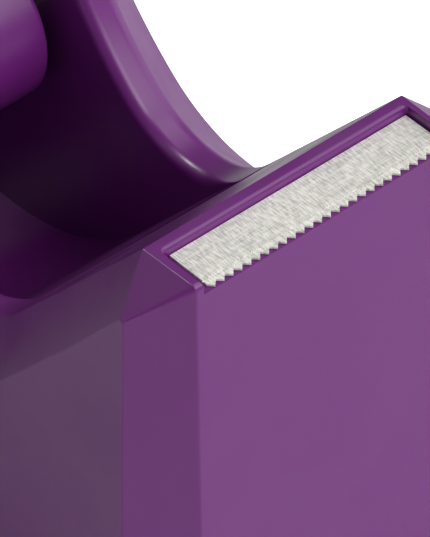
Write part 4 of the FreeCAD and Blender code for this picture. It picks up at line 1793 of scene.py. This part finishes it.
@dataclass(frozen=True)
class Lamp:
    """A square soft lamp aimed at the origin, in metres and watts."""

    name: str
    place: Point3
    size: float
    power: float
    lights_dull_surfaces: bool = True

    def build(self) -> None:
        """Makes the lamp."""
        data = bpy.data.lights.new(self.name, "AREA")
        data.size = self.size
        data.energy = self.power
        lamp = bpy.data.objects.new(self.name, data)
        lamp.visible_diffuse = self.lights_dull_surfaces
        bpy.context.scene.collection.objects.link(lamp)
        lamp.location = self.place
        lamp.rotation_mode = "QUATERNION"
        lamp.rotation_quaternion = Vector(self.place).to_track_quat("Z", "Y")


LAMPS = (
    Lamp("key", (0.22, -1.12, 1.24), 1.0, 15.0),
    Lamp("fill", (0.9, -0.83, 1.38), 1.4, 8.0),
    Lamp("side", (1.3, -0.35, 0.45), 1.1, 5.0),
    Lamp("rim", (-0.2, 0.75, 1.1), 0.2, 7.0, False),
    Lamp("sheen", (-1.2, 1.05, 1.0), 2.2, 6.0, False),
    Lamp("top", (0.6, 0.08, 1.06), 0.6, 2.4, False),
)


@dataclass
class Studio:
    """A white table, white surroundings, soft lamps and a long lens from the front left. In metres."""

    azimuth: float = -41.5
    elevation: float = 42.6
    distance: float = 0.753
    lens: float = 416.0
    sensor: float = 36.0
    far_clip: float = 20.0
    aim: Point3 = (-0.01067, -0.05238, 0.06228)
    table_size: float = 3.0
    table_drop: float = 0.00002
    table_glow: float = 0.04
    surroundings: float = 0.17

    def build(self) -> None:
        """Makes the table, the surroundings, the camera and the lamps."""
        self.build_table()
        self.build_surroundings()
        self.build_camera()
        for lamp in LAMPS:
            lamp.build()

    def build_table(self) -> None:
        """A large table top, plain white to the camera, just under the foam."""
        bm = bmesh.new()
        place = Matrix.Translation((0, 0, -self.table_drop))
        bmesh.ops.create_grid(bm, x_segments=2, y_segments=2, size=self.table_size, matrix=place)
        mesh = bpy.data.meshes.new("table_top")
        bm.to_mesh(mesh)
        bm.free()
        table = new_object("table_top", mesh)
        white = TABLE.build()
        nodes, links = white.node_tree.nodes, white.node_tree.links
        shader = nodes["Principled BSDF"]
        ray, glow = nodes.new("ShaderNodeLightPath"), nodes.new("ShaderNodeMath")
        shader.inputs["Emission Color"].default_value = (1.0, 1.0, 1.0, 1.0)
        glow.operation = "MULTIPLY_ADD"
        glow.inputs[1].default_value = self.table_glow
        links.new(ray.outputs["Is Glossy Ray"], glow.inputs[0])
        links.new(ray.outputs["Is Camera Ray"], glow.inputs[2])
        links.new(glow.outputs["Value"], shader.inputs["Emission Strength"])
        self.hide_underneath(white)
        table.data.materials.append(white)

    @staticmethod
    def hide_underneath(material: bpy.types.Material) -> None:
        """Makes a material see-through from its back, so that the underside can be looked at.

        Args:
            material: the material, with a Principled shader.
        """
        nodes, links = material.node_tree.nodes, material.node_tree.links
        side, clear = nodes.new("ShaderNodeNewGeometry"), nodes.new("ShaderNodeBsdfTransparent")
        mix = nodes.new("ShaderNodeMixShader")
        links.new(side.outputs["Backfacing"], mix.inputs["Fac"])
        links.new(nodes["Principled BSDF"].outputs["BSDF"], mix.inputs[1])
        links.new(clear.outputs["BSDF"], mix.inputs[2])
        links.new(mix.outputs["Shader"], nodes["Material Output"].inputs["Surface"])

    def build_surroundings(self) -> None:
        """Even white surroundings, dim as a light and full white to the camera."""
        world = bpy.data.worlds.new("studio")
        bpy.context.scene.world = world
        world.use_nodes = True
        nodes, links = world.node_tree.nodes, world.node_tree.links
        background = nodes["Background"]
        background.inputs["Color"].default_value = (1.0, 1.0, 1.0, 1.0)
        ray, strength = nodes.new("ShaderNodeLightPath"), nodes.new("ShaderNodeMath")
        strength.operation = "MAXIMUM"
        strength.inputs[1].default_value = self.surroundings
        links.new(ray.outputs["Is Camera Ray"], strength.inputs[0])
        links.new(strength.outputs["Value"], background.inputs["Strength"])

    def build_camera(self) -> None:
        """The camera, aimed at the tower's rim."""
        data = bpy.data.cameras.new("camera")
        data.lens = self.lens
        data.sensor_width = self.sensor
        data.clip_end = self.far_clip
        camera = bpy.data.objects.new("camera", data)
        bpy.context.scene.collection.objects.link(camera)
        a, e = rad(self.azimuth), rad(self.elevation)
        back = Vector((math.sin(a) * math.cos(e), -math.cos(a) * math.cos(e), math.sin(e)))
        camera.location = Vector(self.aim) + back * self.distance
        camera.rotation_mode = "QUATERNION"
        camera.rotation_quaternion = (-back).to_track_quat("-Z", "Y")
        bpy.context.scene.camera = camera


def main() -> None:
    """Builds every piece in order and reports it, then builds the studio."""
    logging.basicConfig(level=logging.INFO, format="%(name)s: %(message)s")
    finishes = Finishes()
    housing = Housing()
    for part in (housing, Cutter(housing), Hub(housing.hub), Base(housing)):
        for piece in part.build(finishes):
            log.info("%s: %d faces", piece.name, len(piece.data.polygons))
    bpy.context.scene.view_settings.view_transform = "Standard"
    Studio().build()


if __name__ == "__main__":
    main()
